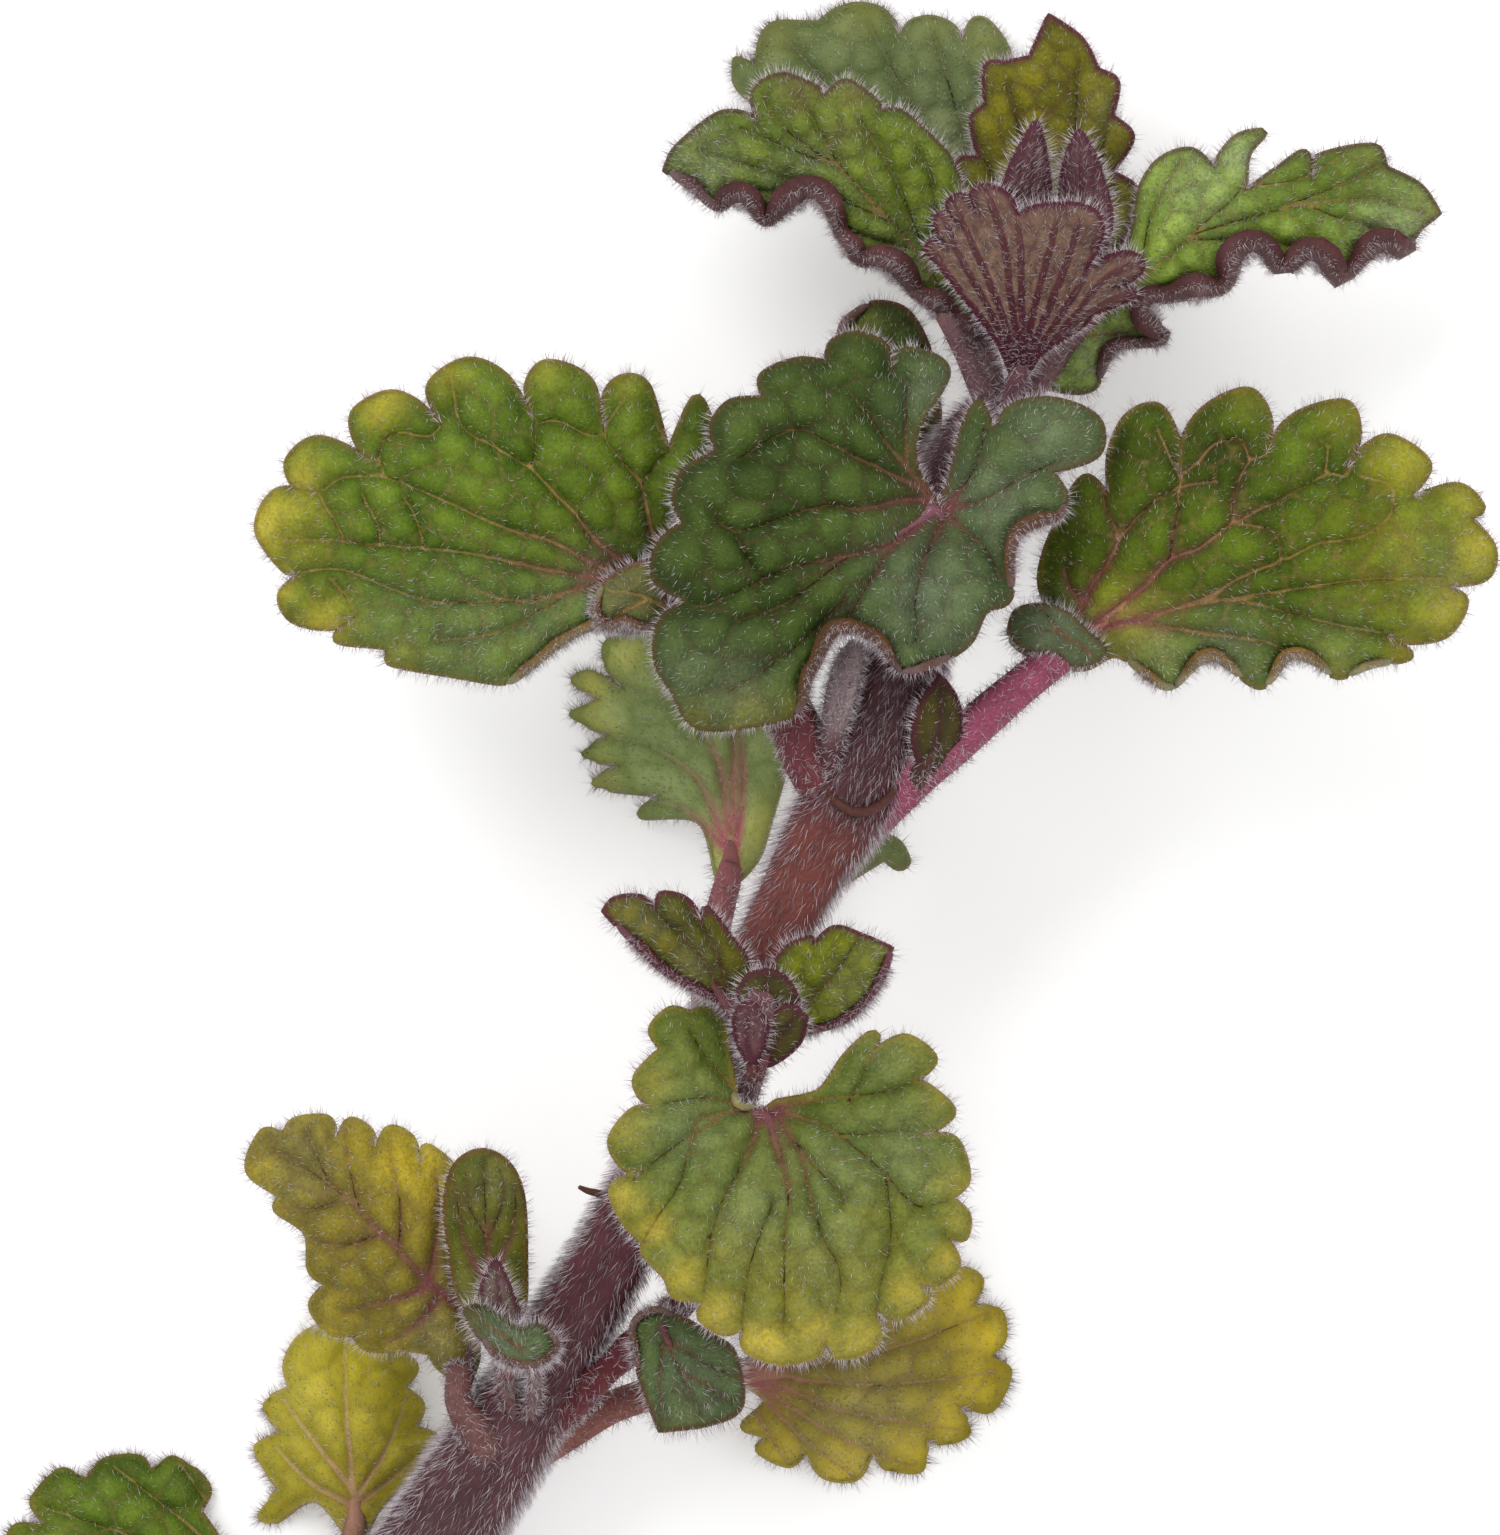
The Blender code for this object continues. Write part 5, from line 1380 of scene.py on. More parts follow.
LOOKS["leaf_young_fan"] = dict(
    colours=PURPLE, slot="leaf_purple", base=(1020, 372), quilt=0.18, cell=20.0, wool=1.25, net=0.3,
    ridge=3.6, fine_show=0.4, vein_show=1.0, rim_show=0.9, vein_wide=1.1, dense=1.8,
    hair=(0.16, 0.42, 0.42, 0.0), step=3.6,
    outline=[(1014, 376), (1000, 346), (982, 320), (960, 292), (940, 266), (927, 250), (933, 240),
             (949, 248, 1), (937, 230), (937, 216), (947, 213), (960, 226, 1), (948, 207), (955, 196),
             (967, 198), (977, 212, 1), (972, 194), (984, 186), (1000, 190), (1011, 200), (1018, 216, 1),
             (1032, 208), (1052, 205), (1076, 205), (1095, 212), (1102, 228), (1098, 246), (1086, 268, 1),
             (1104, 259), (1124, 253), (1139, 257), (1142, 268), (1132, 279), (1114, 286, 1), (1130, 288),
             (1134, 296), (1118, 304), (1092, 314, 1), (1082, 326), (1060, 340), (1040, 354), (1026, 374)],
    veins=[
        [(1018, 370), (988, 324), (960, 288), (934, 250)],
        [(1019, 368), (990, 308), (964, 262), (944, 220)],
        [(1020, 366), (1000, 306), (976, 250), (956, 204)],
        [(1021, 364), (1012, 300), (1004, 240), (988, 194)],
        [(1022, 362), (1022, 300), (1021, 250), (1018, 222)],
        [(1023, 362), (1036, 300), (1048, 255), (1056, 222)],
        [(1024, 364), (1048, 308), (1066, 262), (1078, 222)],
        [(1025, 366), (1058, 318), (1084, 274), (1096, 232)],
        [(1026, 368), (1070, 318), (1102, 280), (1132, 264)],
        [(1028, 370), (1064, 330), (1096, 306), (1124, 294)],
        [(1030, 372), (1056, 350), (1076, 332)],
    ],
    silver=[(1020, 360, 30, 0.5)], stalk_tint=srgb(120, 84, 92),
)
LOOKS["bud_top_left"] = dict(
    colours=BUD, slot="leaf_purple", base=(1034, 290), quilt=0.10, cell=20.0, wool=1.6, dense=1.6,
    hair=(0.25, 0.40, 0.35, 0.0),
    ridge=1.5, veins=[[(1034, 292), (1026, 220), (1036, 130)], [(1030, 260), (1014, 205), (1020, 165)],
                       [(1036, 262), (1044, 210), (1042, 165)]],
    stalk_tint=srgb(110, 60, 70), rim_show=0.8,
)
LOOKS["bud_top_right"] = dict(
    colours=BUD, slot="leaf_purple", base=(1066, 290), quilt=0.10, cell=20.0, wool=1.6, dense=1.6,
    hair=(0.25, 0.40, 0.35, 0.0),
    ridge=1.5, veins=[[(1066, 290), (1082, 220), (1080, 140)], [(1066, 260), (1066, 205), (1072, 165)],
                       [(1074, 265), (1096, 225), (1092, 175)]],
    stalk_tint=srgb(110, 60, 70), rim_show=0.8,
)
LOOKS["axil_leaf_left"] = dict(
    bright=1.2,
    colours=dict(OLIVE, deep=srgb(60, 62, 22), light=srgb(112, 104, 30)), slot="leaf_dark",
    base=(734, 1006), quilt=0.22, cell=26.0, roll=6.0, wool=1.3,
    curl=[(690, 990, 30, 0.5), (645, 952, 26, 0.6), (665, 970, 24, 0.5)],
    stalk=[(752, 1044, 13.2, 9), (744, 1020, 13.5, 9), (728, 1004, 13.6, 7), (708, 978, 13.5, 6)],
    yellow=[(0, 0, 1, 0)], silver=[(640, 925, 30, 0.35), (690, 970, 24, 0.4)],
    stalk_tint=srgb(112, 72, 76), rim_show=1.0,
)
LOOKS["axil_leaf_right"] = dict(
    bright=1.4,
    colours=dict(OLIVE, deep=srgb(72, 80, 22), light=srgb(120, 124, 34)), slot="leaf_dark",
    base=(788, 1018), quilt=0.22, cell=26.0, roll=6.0, wool=1.3,
    curl=[(850, 1016, 30, 0.5), (882, 980, 22, 0.4), (800, 1030, 20, 0.5)],
    stalk=[(764, 1044, 13.0, 9), (774, 1024, 13.1, 9), (790, 1012, 13.3, 7), (808, 998, 13.5, 6)],
    yellow=[(0, 0, 1, 0)], silver=[(850, 995, 30, 0.35), (870, 950, 20, 0.3)],
    stalk_tint=srgb(112, 72, 76), rim_show=1.0,
)
LOOKS["axil_leaf_back"] = dict(
    colours=BACK, slot="leaf_green", base=(812, 898), quilt=0.12, soft=True,
    stalk_tint=srgb(150, 130, 112),
)
LOOKS["axil_leaf_erect"] = dict(
    bright=1.42,
    colours=dict(OLIVE, deep=srgb(70, 76, 24), light=srgb(116, 110, 38), rim=srgb(110, 70, 44)),
    slot="leaf_green", base=(494, 1325), quilt=0.22, cell=30.0,
    veins=[[(494, 1325), (488, 1260), (484, 1160)], [(490, 1290), (465, 1240), (458, 1190)],
           [(490, 1280), (512, 1230), (514, 1185)], [(488, 1240), (470, 1205), (466, 1175)],
           [(487, 1240), (504, 1200), (500, 1170)]],
    silver=[(500, 1180, 30, 0.3), (470, 1300, 24, 0.3)], pink=[(490, 1290, 50, 0.8)],
    yellow=[(460, 1200, 16, 0.3)], shade=[(515, 1280, 20, 0.25)],
    stalk_tint=srgb(112, 80, 78),
)
LOOKS["axil_leaf_small"] = dict(
    colours=DARK, slot="leaf_dark", base=(520, 1350), quilt=0.14, cell=22.0, wool=1.8,
    silver=[(510, 1340, 40, 0.8)], curl=[(505, 1362, 24, 0.4), (548, 1355, 18, 0.5)],
    veins=[[(520, 1350), (490, 1330), (474, 1316)]], stalk_tint=srgb(122, 96, 96), roll=5.0,
)
LOOKS["axil_leaf_grey"] = dict(
    colours=DARK, slot="leaf_dark", base=(664, 1330), quilt=0.24, cell=30.0, wool=1.4,
    veins=[[(664, 1330), (680, 1370), (700, 1410)], [(668, 1340), (700, 1360), (730, 1375)],
           [(664, 1345), (660, 1385), (665, 1418)], [(680, 1370), (705, 1385), (730, 1400)]],
    silver=[(690, 1375, 60, 0.55)], curl=[(640, 1345, 16, 0.5), (650, 1318, 18, 0.4)],
    yellow=[(690, 1425, 18, 0.4)], rim_show=0.8, roll=5.0, stalk_tint=srgb(110, 72, 74),
)

# the smallest leaves, folded over the buds in the axils: node, outline,
# heights, stalk, look
TINY_DARK = dict(deep=srgb(62, 58, 30), light=srgb(98, 88, 44), tip=srgb(96, 60, 50),
                 vein=srgb(78, 40, 44), rim=srgb(84, 42, 50), under=srgb(110, 76, 82),
                 down=srgb(142, 140, 110))
TINY = {
    "leaf_left_flap": ("leaf_left", dict(
        outline=[(664, 622), (662, 580), (646, 564), (624, 570), (604, 584), (597, 596, 1), (594, 614),
                 (606, 628), (624, 622, 1), (644, 628)],
        heights=[(660, 618, 12.9), (660, 582, 13.3), (622, 572, 12.8), (598, 612, 12.9),
                 (630, 600, 13.3), (610, 626, 12.7)],
        stalk=[(664, 610, 12.4, 6), (656, 604, 12.6, 6), (636, 600, 12.9, 4)]),
        dict(colours=dict(GREEN, deep=srgb(92, 92, 44), light=srgb(126, 122, 66), rim=srgb(122, 86, 72)),
             slot="leaf_green", base=(660, 604), quilt=0.18, cell=24.0, wool=1.1, rim_show=0.8, roll=5.0,
             silver=[(620, 600, 40, 0.35)], stalk_tint=srgb(118, 76, 72), step=4.0,
             curl=[(600, 622, 24, 0.7), (630, 624, 20, 0.5)],
             veins=[[(660, 604), (636, 594), (612, 592)], [(644, 600), (626, 608), (612, 618)]])),
    "leaf_right_flap": ("leaf_right", dict(
        outline=[(1092, 662), (1072, 664), (1056, 650), (1036, 650), (1018, 642), (1010, 628, 1),
                 (1016, 612), (1034, 606), (1054, 608), (1072, 618), (1088, 634), (1104, 650)],
        heights=[(1090, 656, 12.7), (1072, 640, 13.2), (1030, 628, 13.3), (1014, 632, 12.9),
                 (1040, 607, 13.2), (1096, 640, 12.9)],
        stalk=[(1080, 652, 12.3, 8), (1084, 648, 12.4, 8), (1060, 636, 12.8, 5)]),
        dict(colours=dict(DARK, deep=srgb(66, 80, 48), light=srgb(104, 116, 78)), slot="leaf_green",
             base=(1092, 652), quilt=0.18, cell=24.0, wool=1.2, rim_show=0.5,
             silver=[(1050, 625, 40, 0.5)], stalk_tint=srgb(130, 74, 84), step=4.0,
             veins=[[(1090, 652), (1060, 634), (1024, 626)], [(1066, 638), (1050, 620), (1042, 612)]])),
    "axil_shoot_leaf_upper": ("axil_shoot", dict(
        outline=[(748, 1012), (739, 992), (749, 975, 1), (768, 971), (786, 979), (798, 1000, 1),
                 (788, 1013), (768, 1018)],
        heights=[(768, 1014, 15.2), (768, 974, 15.9), (744, 994, 15.1), (795, 1000, 15.1)],
        stalk=[(762, 1030, 14.8, 6), (764, 1018, 15.0, 6), (766, 1004, 15.1, 4)]),
        dict(colours=TINY_DARK, slot="leaf_purple", base=(767, 1014), quilt=0.10, cell=16.0,
             rim_show=1.0, dense=0.8, veins=[[(767, 1014), (768, 995), (767, 976)]], step=3.5)),
    "axil_shoot_leaf_left": ("axil_shoot", dict(
        outline=[(752, 1062), (737, 1040), (736, 1014), (750, 1002), (764, 1012), (766, 1036)],
        heights=[(752, 1058, 14.6), (738, 1020, 14.9), (762, 1012, 15.5), (752, 1003, 15.6)],
        stalk=[(752, 1078, 13.4, 6), (752, 1066, 14.0, 6), (752, 1050, 14.5, 4)]),
        dict(colours=BUD, slot="leaf_purple", base=(752, 1060), quilt=0.10, cell=14.0, ridge=1.5,
             rim_show=1.0, dense=0.7, veins=[[(752, 1060), (748, 1030), (750, 1006)]], step=3.5)),
    "axil_shoot_leaf_right": ("axil_shoot", dict(
        outline=[(764, 1064), (768, 1034), (774, 1012), (792, 1006), (806, 1018, 1), (800, 1040),
                 (784, 1056)],
        heights=[(766, 1060, 14.4), (778, 1012, 15.5), (802, 1020, 14.9), (796, 1044, 14.5)],
        stalk=[(758, 1078, 13.4, 6), (762, 1066, 13.9, 6), (768, 1050, 14.3, 4)]),
        dict(colours=TINY_DARK, slot="leaf_purple", base=(766, 1062), quilt=0.10, cell=14.0,
             rim_show=1.0, dense=0.7, veins=[[(766, 1062), (780, 1034), (796, 1012)]], step=3.5)),
    "axil_bud_right_leaf": ("axil_bud_right", dict(
        outline=[(926, 772), (914, 742), (920, 706), (940, 676, 1), (956, 700), (960, 732),
                 (946, 762)],
        heights=[(930, 768, 12.6), (936, 720, 13.5), (940, 680, 13.3), (956, 725, 12.9)],
        stalk=[(914, 794, 11.3, 8), (924, 772, 12.2, 7), (932, 745, 12.9, 5)]),
        dict(colours=dict(TINY_DARK, deep=srgb(58, 52, 26), light=srgb(92, 82, 36)), slot="leaf_dark",
             base=(928, 766), quilt=0.12, cell=20.0, rim_show=0.9, dense=0.6,
             veins=[[(928, 766), (938, 725), (940, 684)]], step=4.0)),
    "axil_bud_lower_leaf": ("axil_bud_lower", dict(
        outline=[(504, 1352), (484, 1322), (482, 1290), (496, 1258, 1), (510, 1290), (520, 1324)],
        heights=[(504, 1348, 10.6), (500, 1300, 11.5), (496, 1262, 11.5), (484, 1300, 11.1),
                 (516, 1320, 11.0)],
        stalk=[(508, 1376, 9.4, 7), (505, 1354, 10.2, 7), (501, 1325, 10.9, 5)]),
        dict(colours=dict(BUD, deep=srgb(104, 86, 82), light=srgb(130, 108, 100)), slot="leaf_purple",
             base=(504, 1350), quilt=0.10, cell=16.0, rim_show=0.9, wool=1.3, ridge=1.5,
             veins=[[(504, 1350), (500, 1305), (496, 1264)]], step=3.5)),
}


# ------------------------------------------------------------------ assembly
def finish_piece(ob, node):
    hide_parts(node)
    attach(ob, "root")


def unit(a):
    return a / np.maximum(np.linalg.norm(a, axis=-1, keepdims=True), 1e-12)


def combine(shells):
    verts, tris, tint, n = [], [], [], 0
    for v, t, c in shells:
        verts.append(v)
        tris.append(t + n)
        tint.append(c)
        n += len(v)
    return np.concatenate(verts), np.concatenate(tris), np.concatenate(tint)


def merge_down(name, batches, rng, node):
    """One piece of down from several batches of (roots, out, lean, length,
    radius, curved)."""
    made = []
    for i, (roots, out, lean, length, radius, curved, tone) in enumerate(batches):
        if len(roots):
            made.append(down(name if not made else name + "_part", roots, out, lean, length,
                             radius, rng, curved, slot=tone))
    if not made:
        return None
    if len(made) > 1:
        all_v, all_t, all_s, n = [], [], [], 0
        for ob in made:
            me = ob.data
            v = np.empty(len(me.vertices) * 3, np.float32)
            me.vertices.foreach_get("co", v)
            t = np.empty(len(me.loops), np.int32)
            me.loops.foreach_get("vertex_index", t)
            s = np.empty(len(me.polygons), np.int32)
            me.polygons.foreach_get("material_index", s)
            all_v.append(v.reshape(-1, 3))
            all_t.append(t.reshape(-1, 3) + n)
            all_s.append(s)
            n += len(me.vertices)
            bpy.data.objects.remove(ob)
            bpy.data.meshes.remove(me)
        ob = make_mesh(name, np.concatenate(all_v), np.concatenate(all_t),
                       slots=np.concatenate(all_s), smooth=False)
        for m in DOWN:
            ob.data.materials.append(m)
        made = [ob]
    finish_piece(made[0], node)
    return made[0]


def hairs_on(top, tris, rng, count, length, away=None, weight=None, lie=0.8, curved=False,
             spread=0.7, thick=0.020, lean_by=0.6, tone=None):
    w = np.ones(len(tris)) if weight is None else weight
    p, n, pick = scatter(top, tris, w, count, rng)
    if not len(p):
        return (p, n, n, np.zeros(0), np.zeros(0), curved, tone)
    side = rng.normal(size=(len(p), 3))
    side -= n * (side * n).sum(1, keepdims=True)
    side = unit(side)
    lean = side if away is None else unit(side * 0.7 + away(p) * lie)
    out = unit(n + spread * lean)
    ln = rng.uniform(length[0], length[1], len(p)) * MM
    rad = rng.uniform(0.75, 1.25, len(p)) * thick * MM
    return (p, out, lean * lean_by, ln, rad, curved, tone)


def grow_leaf(name, leaf, look, seed, node=None):
    node = node or name
    rng = np.random.default_rng(seed)
    spec = dict(look)
    spec["outline"] = look.get("outline") or leaf["outline"]
    spec["height"] = surface(leaf["heights"])
    spec["step"] = look.get("step", 5.0 if len(leaf["outline"]) > 32 else 4.0)
    if "veins" not in spec:
        spec["veins"] = auto_veins(spec["base"], leaf["outline"])
    blade_v, blade_t, blade_c, info = blade_shell(spec, rng, seed)

    # the stalk, sunk into the blade where it becomes the midrib
    axis = smooth_line(look.get("stalk") or ROOTS.get(name, []) + leaf["stalk"], 6.0)
    ring = np.array([p[:2] for p in leaf["outline"]], float)
    closed = np.concatenate([ring, ring[:1]])
    far, _ = to_line(axis[:, :2], closed)
    within = inside(axis[:, :2], ring) & (far > 4)
    h = spec["height"](axis[:, :2])
    if within.any():
        first = np.argmax(within)
        k = np.arange(len(axis))
        fade = np.clip((k - first) / max(1, len(axis) - 1 - first), 0, 1)
        axis[:, 3] *= 1 - 0.62 * fade
        deep = blur_step(k - first, 0.0, 6.0)
        sink = h - axis[:, 3] / 30.0 * (0.35 + 0.65 * deep) - 0.22 * deep
        axis[within, 2] = np.minimum(axis[within, 2], sink[within])
    sv, st, al, an, dirs, _ = tube_shell([tuple(a) for a in axis], 14, 0.03, seed + 40, 5.0, 0.05)
    c = look["colours"]
    base_c = look.get("stalk_tint", srgb(120, 76, 78))
    tone = noise(sv / MM * 3.0, 1.0, seed + 4)
    tint_s = base_c * (1 + 0.16 * tone)[:, None]
    tint_s = mix(tint_s, c["vein"], blur_step(al, 0.75, 1.0) * 0.8)
    # painted shade: the stalk's flanks that face sideways are mixed to a deeper maroon
    tint_s = mix(tint_s, srgb(96, 50, 58), 0.35 * np.clip(np.abs(np.cos(an)) - 0.5, 0, 1) * 2)
    sv[:, 2] = np.maximum(sv[:, 2], 0.00002)

    verts, tris, tint = combine([(blade_v, blade_t, blade_c), (sv, st, tint_s)])
    ob = make_mesh(name + "_blade", verts, tris, np.clip(tint, 0, 1))
    ob.data.materials.append(SOFT_SKIN if look.get("soft") else BLADE_SKIN)
    finish_piece(ob, node)
    made_tris[name + "_blade"] = len(tris)

    # down
    wool = look.get("wool", 1.0)
    top, sheet = info["top"]
    flat = sheet[:info["flat_tris"]]
    area = 0.5 * np.linalg.norm(np.cross(top[flat[:, 1]] - top[flat[:, 0]],
                                         top[flat[:, 2]] - top[flat[:, 0]]), axis=1).sum() / UNIT**2
    base3 = place(info["base"][0], info["base"][1], float(spec["height"](info["base"][None])[0]))

    def away(p):
        d = p - base3
        d[:, 2] = 0
        return unit(d)

    grey_t = info["grey"][flat].mean(1)
    batches = []
    dense = look.get("dense", 1.0)
    batches.append(hairs_on(top, flat, rng, int(area / 34 * dense * wool), (0.12 * wool, 0.26 * wool),
                            away, weight=0.5 + 1.6 * grey_t, spread=0.9, thick=0.0100,
                            tone=look.get("hair", (0.20, 0.08, 0.02, 0.70))))
    bot = info["bot"]
    under = flat[:, ::-1]
    batches.append(hairs_on(bot, under, rng, int(area / 60), (0.22, 0.42), away, spread=0.8))
    # the fringe
    loop = info["loop"]
    m = len(loop)
    length = np.linalg.norm(np.roll(info["uv"][loop], -1, 0) - info["uv"][loop], axis=1)
    count = int(length.sum() / 0.72 * (0.7 + 0.3 * wool))
    i = rng.choice(m, count, p=length / length.sum())
    f = rng.random((count, 1))
    j = (i + 1) % m
    ring_id = np.where(info["w"][i] > 0.15, rng.integers(2, 5, count), rng.integers(1, 4, count))
    rings = np.stack([info["ring_pos"][r] for r in range(6)])
    p = rings[ring_id, i] * (1 - f) + rings[ring_id, j] * f
    q = info["edge_out"]
    o2 = q[i] * (1 - f) + q[j] * f
    o = unit(np.stack([o2[:, 0], -o2[:, 1], np.zeros(count)], 1))
    lift = rng.uniform(-0.35, 0.75, (count, 1)) * np.array([[0, 0, 1.0]])
    side = rng.normal(size=(count, 3)) * 0.32
    o = unit(o + lift + side)
    lean = unit(away(p) + rng.normal(size=(count, 3)) * 0.5)
    batches.append((p, o, lean * 0.5, rng.uniform(0.26, 0.62, count) * MM * (0.6 + 0.4 * wool),
                    rng.uniform(0.0105, 0.016, count) * MM, False, (0.46, 0.38, 0.16, 0.0)))
    # rolled margins show their woolly outside
    w_edge = info["w"]
    rolled = np.where(w_edge > 0.25)[0]
    if len(rolled):
        cnt = int(len(rolled) * 36 * (0.5 + 0.5 * wool))
        i = rolled[rng.integers(0, len(rolled), cnt)]
        rid = rng.integers(1, 5, cnt)
        f = rng.random((cnt, 1))
        p = rings[rid, i] * (1 - f) + rings[rid, (i + 1) % m] * f
        th = np.radians(np.array([38, 78, 122, 168, 205]))[rid - 1]
        o2 = q[i]
        o = np.stack([o2[:, 0] * np.sin(th), -o2[:, 1] * np.sin(th), -np.cos(th)], 1)
        o = unit(o + rng.normal(size=(cnt, 3)) * 0.35)
        lean = unit(rng.normal(size=(cnt, 3)))
        p = p + o * 0.08 * MM
        batches.append((p, o, lean * 0.5, rng.uniform(0.18, 0.40, cnt) * MM,
                        rng.uniform(0.008, 0.012, cnt) * MM, False, (0.36, 0.42, 0.22, 0.0)))
    # the stalk's wool
    s_area = 0.5 * np.linalg.norm(np.cross(sv[st[:, 1]] - sv[st[:, 0]], sv[st[:, 2]] - sv[st[:, 0]]),
                                  axis=1)
    keep_w = (al[st].mean(1) < 0.72).astype(float) + 0.02
    count = int((s_area * keep_w).sum() / UNIT**2 / 22 * wool)
    batches.append(hairs_on(sv, st, rng, count, (0.24, 0.50), None, weight=keep_w, spread=0.45,
                            curved=False, thick=0.012))
    merge_down(name + "_down", batches, rng, node)
    return ob


def woolly(name, verts, tris, rng, per, length, node, weight=None, spread=0.5, thick=0.013,
           away=None):
    area = 0.5 * np.linalg.norm(np.cross(verts[tris[:, 1]] - verts[tris[:, 0]],
                                         verts[tris[:, 2]] - verts[tris[:, 0]]), axis=1)
    w = np.ones(len(tris)) if weight is None else weight
    count = int((area * w).sum() / UNIT**2 / per)
    batch = hairs_on(verts, tris, rng, count, length, away, weight=w, spread=spread, curved=False,
                     thick=thick)
    merge_down(name, [batch], rng, node)


# where stalks and buds grow out of the stem
ROOTS = {
    "leaf_left": [(852, 822, 10.6, 27), (826, 794, 11.3, 24)],
    "leaf_right": [(862, 812, 10.7, 27), (898, 792, 11.3, 24)],
    "leaf_front": [(932, 580, 11.4, 18)],
    "leaf_front_lower": [(690, 1110, 10.0, 16)],
    "leaf_lower_left": [(506, 1462, 5.8, 24), (478, 1432, 6.9, 20)],
    "leaf_lower_right": [(520, 1452, 5.4, 27), (566, 1430, 5.4, 22)],
    "leaf_bottom_back": [(376, 1624, 2.2, 18)],
    "leaf_bottom_left": [(338, 1664, 2.2, 18)],
    "leaf_top_left": [(994, 416, 8.6, 15)],
    "leaf_top_right": [(1006, 414, 8.5, 15)],
    "leaf_top_back": [(996, 400, 8.0, 14)],
    "leaf_top_pointed": [(1008, 398, 8.2, 13)],
    "leaf_young_fan": [(1003, 420, 9.0, 14)],
    "axil_leaf_left": [(754, 1058, 12.8, 9)],
    "axil_leaf_right": [(766, 1068, 12.2, 9)],
    "axil_leaf_erect": [(514, 1408, 7.6, 12)],
    "axil_leaf_small": [(528, 1412, 7.8, 9)],
    "axil_leaf_grey": [(668, 1302, 8.8, 8)],
    "leaf_back_upper": [(944, 510, 9.4, 14)],
    "leaf_back_lower": [(700, 1086, 8.4, 14)],
    "axil_leaf_back": [(736, 1048, 8.4, 9)],
    "side_shoot": [(540, 1424, 6.2, 25), (584, 1390, 7.3, 19)],
    "axil_bud_left": [(838, 792, 11.6, 14)],
    "axil_bud_right": [(912, 792, 11.4, 10)],
    "axil_shoot": [(738, 1112, 10.6, 15)],
    "axil_bud_lower": [(510, 1390, 8.6, 9)],
}

# fuller shapes of the buds
FULLER = {
    "axil_bud_left": [(836, 804, 11.0, 8), (830, 768, 12.0, 11), (834, 726, 12.5, 14),
                      (842, 690, 12.7, 16), (850, 660, 12.8, 14), (856, 642, 12.8, 7)],
    "axil_bud_right": [(912, 792, 11.4, 10), (924, 762, 12.4, 10), (936, 730, 12.7, 11),
                       (942, 704, 12.8, 8)],
}

# the stem
rng = np.random.default_rng(7)
sv, st, al, an, dirs, line = tube_shell(STEM_AXIS, 30, 0.085, 11, 6.0, 0.05)
sv[:, 2] = np.maximum(sv[:, 2], 0.00002)
stops = [(0.0, srgb(88, 66, 68)), (0.10, srgb(86, 62, 64)), (0.25, srgb(92, 60, 64)),
         (0.42, srgb(94, 54, 60)), (0.52, srgb(94, 56, 58)), (0.60, srgb(128, 76, 70)),
         (0.68, srgb(118, 68, 62)), (0.715, srgb(84, 50, 54)), (0.80, srgb(76, 50, 54)),
         (0.88, srgb(96, 60, 70)), (1.0, srgb(112, 88, 90))]
xs = np.array([s[0] for s in stops])
cs = np.array([s[1] for s in stops])
tint = np.stack([np.interp(al, xs, cs[:, k]) for k in range(3)], 1)
q = np.stack([al * 1450, np.cos(an) * 40, np.sin(an) * 40], 1)
tint = tint * (1 + 0.20 * noise(q * np.array([0.25, 1, 1]), 9.0, 5) + 0.10 * noise(q, 14.0, 6))[:, None]
# painted shade: the stem's flanks that face sideways, seen edge-on from above, are mixed to a deeper maroon
edge = np.clip(np.abs(np.cos(an)) - 0.45, 0, 1) / 0.55
tint = mix(tint, srgb(92, 38, 50), 0.40 * edge)
cut = al <= 0.0005
tint[cut] = srgb(196, 188, 150)
ob = make_mesh("stem_skin", sv, st, np.clip(tint, 0, 1))
ob.data.materials.append(STEM_SKIN)
finish_piece(ob, "stem")
made_tris["stem_skin"] = len(st)


def along_stem(p):
    d = p[:, None, :2] - place(line[:, 0], line[:, 1], line[:, 2])[None, :, :2]
    i = (d ** 2).sum(2).argmin(1)
    t = np.gradient(place(line[:, 0], line[:, 1], line[:, 2]), axis=0)
    return -unit(t)[i]


wt = np.ones(len(st))
mid_al = al[st].mean(1)
side_on = np.abs(np.cos(an))[st].mean(1)
wt = (0.22 + 1.0 * side_on ** 1.5) * (1 + 0.4 * (mid_al > 0.70) + 0.35 * (mid_al < 0.45))
wt[mid_al < 0.004] = 0
face = (0.40 + 0.6 * (mid_al > 0.70)) * (1 - side_on ** 2) * (mid_al > 0.004)
edge_w = wt * side_on ** 2
batches = []
for w_part, spread, thick, reach, tone in (
        (face, 1.25, 0.0105, (0.26, 0.60), (0.10, 0.32, 0.58, 0.0)),
        (edge_w, 0.55, 0.0125, (0.32, 0.70), (0.42, 0.38, 0.20, 0.0))):
    area = 0.5 * np.linalg.norm(np.cross(sv[st[:, 1]] - sv[st[:, 0]], sv[st[:, 2]] - sv[st[:, 0]]), axis=1)
    batches.append(hairs_on(sv, st, rng, int((area * w_part).sum() / UNIT**2 / 13), reach, along_stem,
                            weight=w_part, lie=1.8, curved=False, spread=spread, thick=thick, tone=tone))
merge_down("stem_down", batches, rng, "stem")

